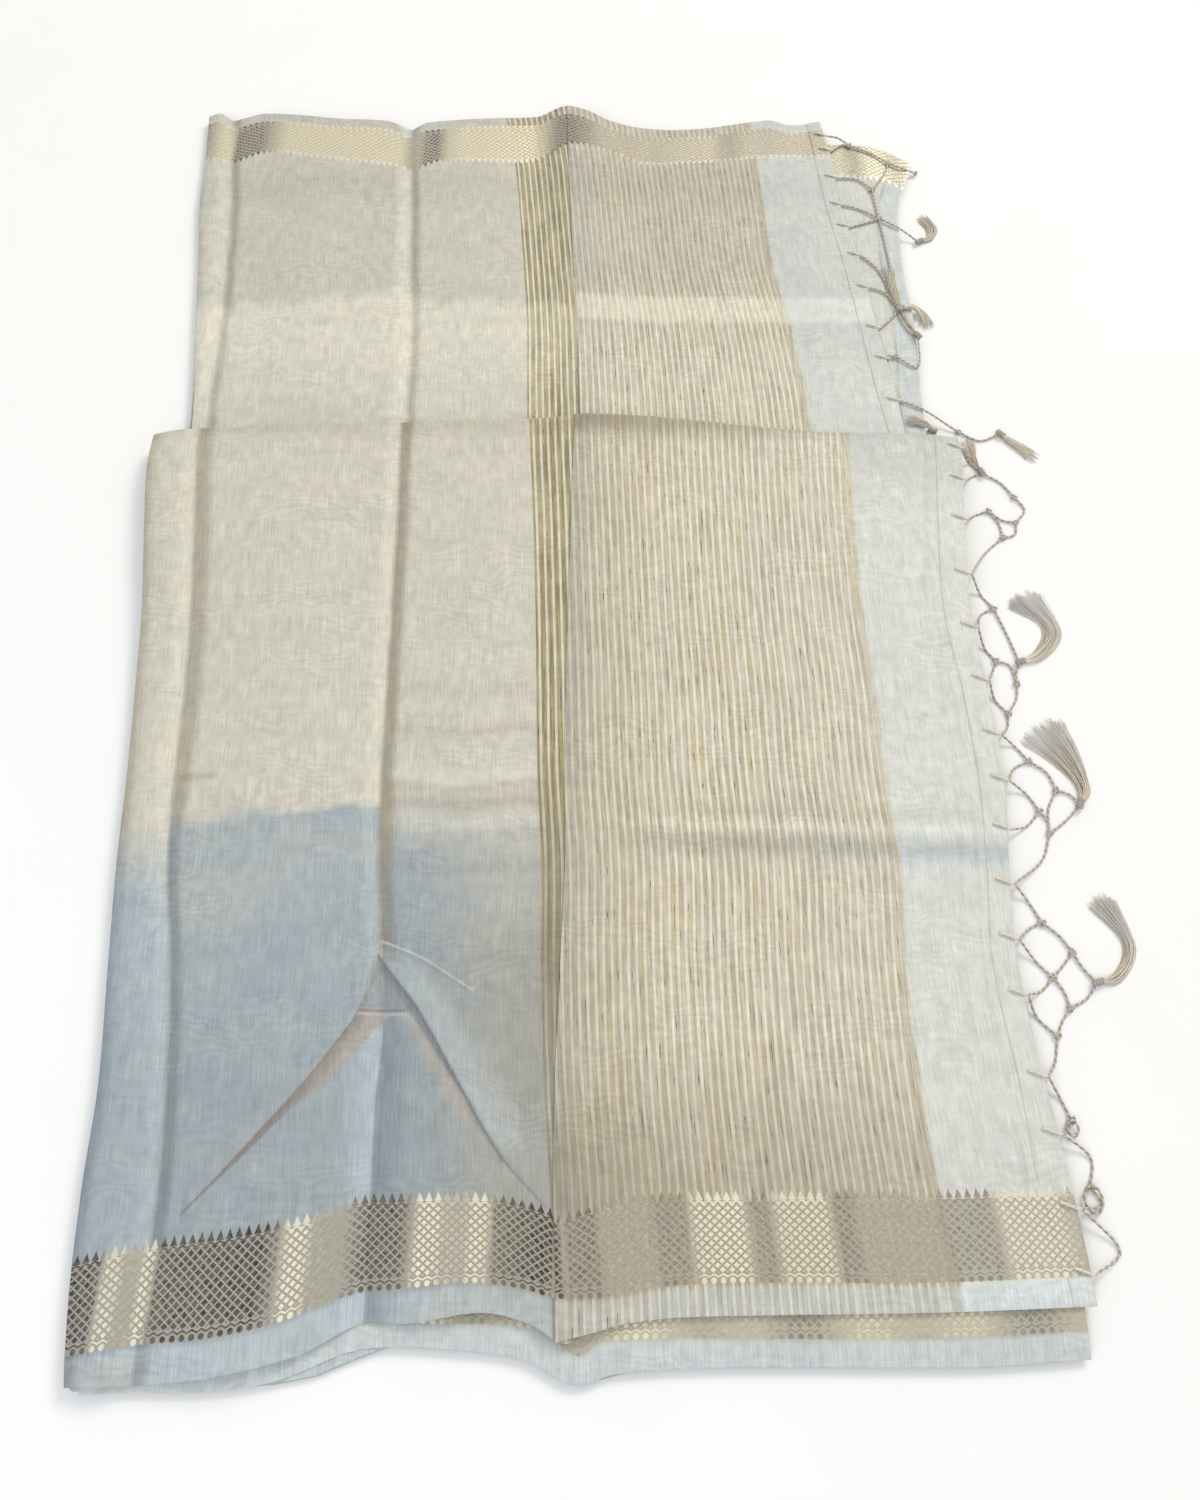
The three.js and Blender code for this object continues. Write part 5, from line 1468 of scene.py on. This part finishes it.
# Cords of the net: from, to and the place they bend through
NEAR_CORDS = [
    ("r1", "d1", 267, 249), ("r2", "d1", 265, 236), ("d1", "d2", 286, 232), ("d2", "d3", 300, 208),
    ("d3", "d4", 283, 199), ("r3", "d4", 262, 202), ("d4", "d5", 280, 196), ("d3", "d5", 290, 187),
    ("r4", "d5", 267, 171), ("r4", "a1", 259, 137), ("r5", "a1", 257, 121), ("r5", "a2", 256, 94),
    ("r6", "a2", 258, 76), ("r6", "a3", 257, 56), ("r7", "a3", 262, 36), ("a1", "headA", 272, 106),
    ("a2", "a4", 270, 82), ("a3", "a4", 271, 57), ("a4", "headA", 274, 76), ("r7", "b1", 265, 22),
    ("r8", "b1", 262, 7), ("r8", "b2", 267, -11), ("r9", "b2", 264, -32), ("r10", "b4", 270, -54),
    ("b1", "b3", 282, 4), ("b2", "b4", 277, -29), ("b3", "b4", 279, -21), ("b3", "headB", 294, -11),
    ("b4", "headB", 288, -29), ("r10", "c1", 257, -81), ("r11", "c1", 256, -97), ("r11", "c2", 256, -118),
    ("r12", "c2", 256, -135), ("r12", "c3", 251, -150), ("r13", "c3", 257, -176), ("c1", "c4", 272, -102),
    ("c2", "c4", 271, -120), ("c2", "c5", 269, -135), ("c3", "c5", 265, -153), ("c4", "headC", 283, -122),
    ("c5", "headC", 282, -139), ("r13", "e1", 257, -196), ("r14", "e1", 258, -212), ("r14", "e2", 268, -227),
    ("r15", "e2", 270, -251), ("r15", "r16", 275, -274),
]
FAR_CORDS = [
    ("s1", "m1", 200, 590), ("s2", "m1", 203, 581), ("m1", "m2", 226, 571), ("s3", "m3", 212, 539),
    ("m3", "m2", 234, 544), ("m2", "end1", 252, 552), ("s4", "m4", 211, 504), ("s5", "m4", 213, 488),
    ("m4", "headF", 241, 482), ("m3", "headG", 228, 455), ("s6", "headG", 219, 436),
    ("s7", "headG", 221, 412), ("s8", "headG", 222, 383), ("headG", "m5", 238, 378),
    ("m5", "m6", 238, 336), ("s9", "m6", 217, 347), ("s10", "m7", 236, 296), ("m7", "headH", 277, 270),
]

# Tassels: the head, and sections of the brush as (x, y, half width)
NEAR_TASSELS = [
    ("d1", 40, [(270, 250, 3), (268, 262, 5), (267, 272, 6)]),
    ("headA", 120, [(290, 89, 4), (302, 108, 7), (286, 137, 13)]),
    ("headB", 120, [(303, -8, 4), (297, 12, 9), (282, 37, 17)]),
    ("headC", 90, [(301, -127, 3), (312, -109, 4), (299, -78, 9)]),
]
FAR_TASSELS = [
    ("headF", 60, [(265, 477, 3), (268, 488, 5), (262, 502, 6)]),
    ("headG", 60, [(242, 397, 3), (250, 392, 5), (253, 380, 6)]),
    ("headG", 60, [(229, 406, 3), (227, 424, 4), (226, 440, 6)]),
    ("m5", 40, [(238, 372, 2), (234, 382, 3), (231, 392, 3)]),
    ("low", 50, [(238, 281, 2), (231, 284, 4), (225, 286, 6)]),
    ("headH", 45, [(299, 269, 3), (306, 263, 4), (315, 253, 5)]),
]

# %% Tubes and knots
# Millimetres: real cords of this kind are 1.5 mm thick, and loose silk is drawn as coarse as it shows
CORD_RADIUS = 0.8
ROOT_RADIUS = 0.95
KNOT_RADIUS = 0.62
THREAD_RADIUS = 0.2
CORD_LOBES = 0.28
PLY_TURN = 4.2
# Samples along a cord and along a loose thread
CORD_STEP = 0.75
BRUSH_STEP = 3.2
# How high cords and knots lie above what is below them, and the lowest that any strand may reach
CORD_LIFT = 0.8
KNOT_LIFT = 1.3
STRAND_FLOOR = 0.05
# From the hem a cord steps out and down
ROOT_STEP = np.array([2.6, 0, -1.0])
# Strands numbered from here on are bleached: the stitches over the hem
PALE = 10


class Strands:
    """Points and faces of many tubes, gathered for one mesh."""

    def __init__(self):
        self.points, self.faces, self.along, self.count = [], [], [], 0

    def add(self, path, radius, sides, lobes=0.0, turn=1.0, taper=1.0, pale=0):
        """Add one tube along a path. Its lobes turn once in every two turns' length."""
        path = np.asarray(path, float)
        ahead = np.gradient(path, axis=0)
        ahead /= np.linalg.norm(ahead, axis=1)[:, None] + 1e-9
        side = np.cross(ahead, (0, 0, 1.0))
        side /= np.linalg.norm(side, axis=1)[:, None] + 1e-9
        up = np.cross(side, ahead)
        steps = np.linalg.norm(np.diff(path, axis=0), axis=1)
        length = np.concatenate([[0], np.cumsum(steps)])
        angle = 2 * np.pi * np.arange(sides)[None, :] / sides
        twist = 2 * np.pi * length[:, None] / turn
        width = radius * (1 - lobes + lobes * np.abs(np.cos(angle - twist / 2)))
        width = width * mix(1, taper, (length / length[-1])[:, None])
        ring = side[:, None, :] * (width * np.cos(angle))[..., None]
        ring = ring + up[:, None, :] * (width * np.sin(angle))[..., None]
        rows = len(path)
        around = (path[:, None, :] + ring).reshape(-1, 3)
        around[:, 2] = np.maximum(around[:, 2], STRAND_FLOOR)
        self.points.append(around)
        corner = self.count + np.arange(rows * sides).reshape(rows, sides)
        turned = np.roll(corner, -1, axis=1)
        quads = np.stack([corner[:-1], corner[1:], turned[1:], turned[:-1]], axis=-1).reshape(-1, 4)
        self.faces += quads.tolist() + [corner[0].tolist(), corner[-1][::-1].tolist()]
        self.along.append(np.stack([np.repeat(length, sides), np.tile(angle[0], rows),
                                    np.full(rows * sides, len(self.along) % 7 + pale)], axis=-1))
        self.count += rows * sides

    def mesh(self, name, material):
        """Make one object of all the tubes."""
        points = np.concatenate(self.points) * MM
        mesh = bpy.data.meshes.new(name)
        mesh.from_pydata(points.tolist(), [], self.faces)
        mesh.polygons.foreach_set("use_smooth", [True] * len(mesh.polygons))
        mesh.materials.append(material)
        set_attribute(mesh, "along", np.concatenate(self.along))
        obj = bpy.data.objects.new(name, mesh)
        bpy.context.collection.objects.link(obj)
        print(f"{name}: {len(self.along)} strands, {len(self.faces)} faces")
        return obj


def curve_through(points, step):
    """A smooth curve through the points, with a sample at about every step."""
    points = np.asarray(points, float)
    gaps = np.sqrt(np.linalg.norm(np.diff(points, axis=0), axis=1)) + 1e-6
    knots = np.concatenate([[0], np.cumsum(gaps)])
    slopes = np.gradient(points, knots, axis=0)
    samples = []
    for i in range(len(points) - 1):
        span = knots[i + 1] - knots[i]
        count = max(int(np.linalg.norm(points[i + 1] - points[i]) / step), 2)
        t = np.linspace(0, 1, count, endpoint=i == len(points) - 2)[:, None]
        start = (1 + 2 * t) * (1 - t) ** 2
        samples.append(start * points[i] + (1 - start) * points[i + 1]
                       + t * (1 - t) ** 2 * span * slopes[i] + t * t * (t - 1) * span * slopes[i + 1])
    return np.concatenate(samples)


def overhand_knot(place, size=0.72, turn=0.0):
    """The path of a small overhand knot."""
    t = np.linspace(0, 2 * np.pi, 30)
    x = size * (np.sin(t) + 2 * np.sin(2 * t))
    y = size * (np.cos(t) - 2 * np.cos(2 * t))
    z = -0.7 * size * np.sin(3 * t)
    c, s = np.cos(turn), np.sin(turn)
    return np.stack([place[0] + c * x - s * y, place[1] + s * x + c * y, place[2] + z], axis=-1)


# %% [markdown]
# ## Silk for cords and tassels
# The cords are twisted silk in taupe with a paler ply, and the tassels are loose silk, paler and
# cooler towards the ends. Hair curves would give finer threads, but not solid ones that a scene can
# reuse. Silk is smooth, yet many fine threads scatter light like a rough surface with a sheen, so the
# roughness is 0.55, and the shader's usual IOR of 1.5 is near that of silk.

# %% Cord and tassel finishes
CORD_TAUPE = "#7d7567"
CORD_PALE = "#dcd6c7"
TASSEL_GOLD = "#c0aa7e"
TASSEL_PALE = "#fbf7ec"
TASSEL_TIP = "#e6ecf0"


def strand_material(name, dark, pale, turn, ply_share, tipped=False):
    """Silk threads whose colour turns with the ply, or varies from thread to thread."""
    material, tree = new_material(name)
    length, angle, number = split_attribute(tree, "along")
    phase = node(tree, MATH, [product(tree, length, 2 * np.pi / turn), angle], operation="SUBTRACT")
    ply = node(tree, MATH, [phase], operation="SINE")
    place = node(tree, "ShaderNodeCombineXYZ", [product(tree, length, 0.5), angle, number])
    fuzz = node(tree, NOISE, {"Vector": place, "Scale": 1.3, "Detail": 3.0})
    amount = node(tree, MATH, [product(tree, ply, ply_share), fuzz], operation="ADD", use_clamp=True)
    bleached = product(tree, softened(tree, number, PALE - 2.0, PALE - 1.0), 0.6)
    amount = node(tree, MATH, [amount, bleached], operation="ADD", use_clamp=True)
    if tipped:
        tint = node(tree, RANGE, [number, 0.0, 6.0, -0.3, 0.45])
        amount = node(tree, MATH, [amount, tint], operation="ADD", use_clamp=True)
    colour = painted(tree, dark, pale, amount)
    if tipped:
        tip = product(tree, softened(tree, length, 24.0, 50.0), 0.4)
        colour = painted(tree, colour, TASSEL_TIP, tip)
    bump = node(tree, "ShaderNodeBump", {"Strength": 0.3, "Distance": 0.0002, "Height": fuzz})
    shader = node(tree, "ShaderNodeBsdfPrincipled", {
        "Base Color": colour, "Roughness": 0.55, "Normal": bump, "Sheen Weight": 0.3,
        "Sheen Roughness": 0.35,
    })
    node(tree, "ShaderNodeOutputMaterial", [shader])
    print("Finish", name, "with", len(tree.nodes), "nodes")
    return material


twisted_silk = strand_material("twisted_silk_cord", CORD_TAUPE, CORD_PALE, PLY_TURN, 0.25)
loose_silk = strand_material("loose_silk_tassel", TASSEL_GOLD, TASSEL_PALE, 9.0, 0.0, tipped=True)

# %% The net
def fringe_places(roots, knots, root_at, ground):
    """Where each root leaves the hem and where each knot lies."""
    places = {name: root_at(y) for name, y in roots.items()}
    for name, (x, y) in knots.items():
        places[name] = np.array([x, y, float(ground(x, y)) + KNOT_LIFT])
    return places


def open_loop(x, y, half_width, half_length, ground):
    """The path of a slack loop of cord that lies on the rest of the net."""
    t = np.linspace(0, 1.08, 40)
    z = ground(x, y) + CORD_LIFT + 1.3 + 1.2 * ease(t, 0.85, 1.0)
    turn = 2 * np.pi * t + 1.6
    return np.stack([x + half_width * np.cos(turn), y + half_length * np.sin(turn), z + 0 * t], axis=-1)


def net(name, roots, knots, cords, tassels, root_at, hem_path, ground, loops=()):
    """Root stitches, cords, knots, tassel heads and slack loops of one half, as one mesh."""
    places = fringe_places(roots, knots, root_at, ground)
    strands = Strands()
    outside = {}
    for label in roots:
        out = places[label] + ROOT_STEP
        out[2] = max(out[2], float(ground(out[0], out[1])) + CORD_LIFT)
        outside[label] = out
        loop = hem_path(roots[label]) + [places[label], out]
        strands.add(curve_through(loop, CORD_STEP), ROOT_RADIUS, 8, CORD_LOBES, PLY_TURN, pale=PALE)
    for start, end, x, y in cords:
        middle = np.array([x, y, float(ground(x, y)) + CORD_LIFT])
        ends = [outside.get(label, places[label]) for label in (start, end)]
        path = curve_through([ends[0], middle, ends[1]], CORD_STEP)
        strands.add(path, CORD_RADIUS, 8, CORD_LOBES, PLY_TURN)
    for order, label in enumerate(knots):
        strands.add(overhand_knot(places[label], turn=order * 1.1), KNOT_RADIUS, 6, CORD_LOBES, PLY_TURN)
    for label, _, brush in tassels:
        bind_head(strands, places[label], brush[0])
    for loop in loops:
        strands.add(open_loop(*loop, ground), CORD_RADIUS, 8, CORD_LOBES, PLY_TURN)
    return strands.mesh(name, twisted_silk), places


def bind_head(strands, head, first):
    """The thread wound round a tassel's head."""
    ahead = np.array([first[0] - head[0], first[1] - head[1], 0.0])
    ahead /= np.linalg.norm(ahead)
    side = np.array([ahead[1], -ahead[0], 0.0])
    t = np.linspace(0, 7 * 2 * np.pi, 90)
    middle = head + np.array([0, 0, 0.9]) + ahead * (t / t[-1] * 6.5 - 2.5)[:, None]
    round_x, round_z = np.cos(t)[:, None] * side, np.sin(t)[:, None] * np.array([0, 0, 1.0])
    strands.add(middle + 1.7 * (round_x + round_z), 0.5, 5)


# %% The brushes of the tassels
LOCKS = 9


def brushes(name, tassels, places, ground, seed):
    """The loose threads of each tassel, fanned from its head."""
    rng = random.Random(seed)
    strands = Strands()
    for label, count, sections in tassels:
        head = places[label]
        for _ in range(count):
            lock = rng.randrange(LOCKS)
            side = np.clip((lock + 0.5) / LOCKS * 2 - 1 + rng.gauss(0, 0.09), -1.1, 1.1)
            layer = rng.random()
            path = [head + np.array([0, 0, 0.4 + 0.8 * layer])]
            before = head[:2]
            for order, (x, y, half) in enumerate(sections):
                ahead = np.array([x, y], float) - before
                ahead /= np.linalg.norm(ahead)
                before = np.array([x, y], float)
                last = order == len(sections) - 1
                pull = (-4 * side * side + 2.2 * np.sin(lock * 2.3) + rng.uniform(-3, 1.5)) if last else 0
                spread = half * side + rng.uniform(-0.8, 0.8)
                px = x + ahead[1] * spread + ahead[0] * pull
                py = y - ahead[0] * spread + ahead[1] * pull
                dome = (1 - side * side) * layer
                lift = 0.35 + dome * (3.0 if not last else 2.0)
                path.append(np.array([px, py, float(ground(px, py)) + lift]))
            thickness = THREAD_RADIUS * rng.uniform(0.8, 1.4)
            strands.add(curve_through(path, BRUSH_STEP), thickness, 3, taper=0.7)
    return strands.mesh(name, loose_silk)


# %% Both halves of the fringe
ROOT_SLOPE = 0.35
STITCH_LIFT = 0.3
# The root stitch over the hem: how far in from its end, and how high above the cloth
NEAR_STITCH = ((9, 0.1), (6, 0.8), (2.5, 0.7))
FAR_STITCH = ((8, 0.1), (5.5, 0.8), (2.5, 0.7))


def cord_root(guide, top, y):
    """Where a cord leaves the cloth, just past the end of the hem."""
    x = float(guide("end", y)) + 0.4
    return np.array([x, y, float(top(x, y)) + STITCH_LIFT])


def stitch_path(guide, face, stitch, y):
    """The slanted root stitch over the hem."""
    end = float(guide("end", y))
    return [np.array([end - back, y + ROOT_SLOPE * back, float(face(end - back, y)) + STITCH_LIFT + lift])
            for back, lift in stitch]


def on_floor(x, y):
    """The near fringe hangs off the stack and lies on the floor."""
    return 0.0


def on_under(x, y):
    """The far fringe lies on the second layer and slides off its edge."""
    edge = far_guide("under", y)
    return (FAR_LEVEL - UNDER_DEPTH + 0.3) * (1 - ease(x, edge + 1, edge + 8))


fringe_near, near_places = net(
    "near_cords", NEAR_ROOTS, NEAR_KNOTS, NEAR_CORDS, NEAR_TASSELS,
    lambda y: cord_root(near_guide, near_top, y),
    lambda y: stitch_path(near_guide, near_face, NEAR_STITCH, y), on_floor, NEAR_LOOPS)
fringe_far, far_places = net(
    "far_cords", FAR_ROOTS, FAR_KNOTS, FAR_CORDS, FAR_TASSELS,
    lambda y: cord_root(far_guide, far_top, y),
    lambda y: stitch_path(far_guide, far_face, FAR_STITCH, y), on_under)
tassels_near = brushes("near_tassels", NEAR_TASSELS, near_places, on_floor, 5)
tassels_far = brushes("far_tassels", FAR_TASSELS, far_places, on_under, 8)
settle(fringe_near, "fringe_cord", "fringe_near")
settle(fringe_far, "fringe_cord", "fringe_far")
settle(tassels_near, "fringe_cord")
settle(tassels_far, "fringe_cord")
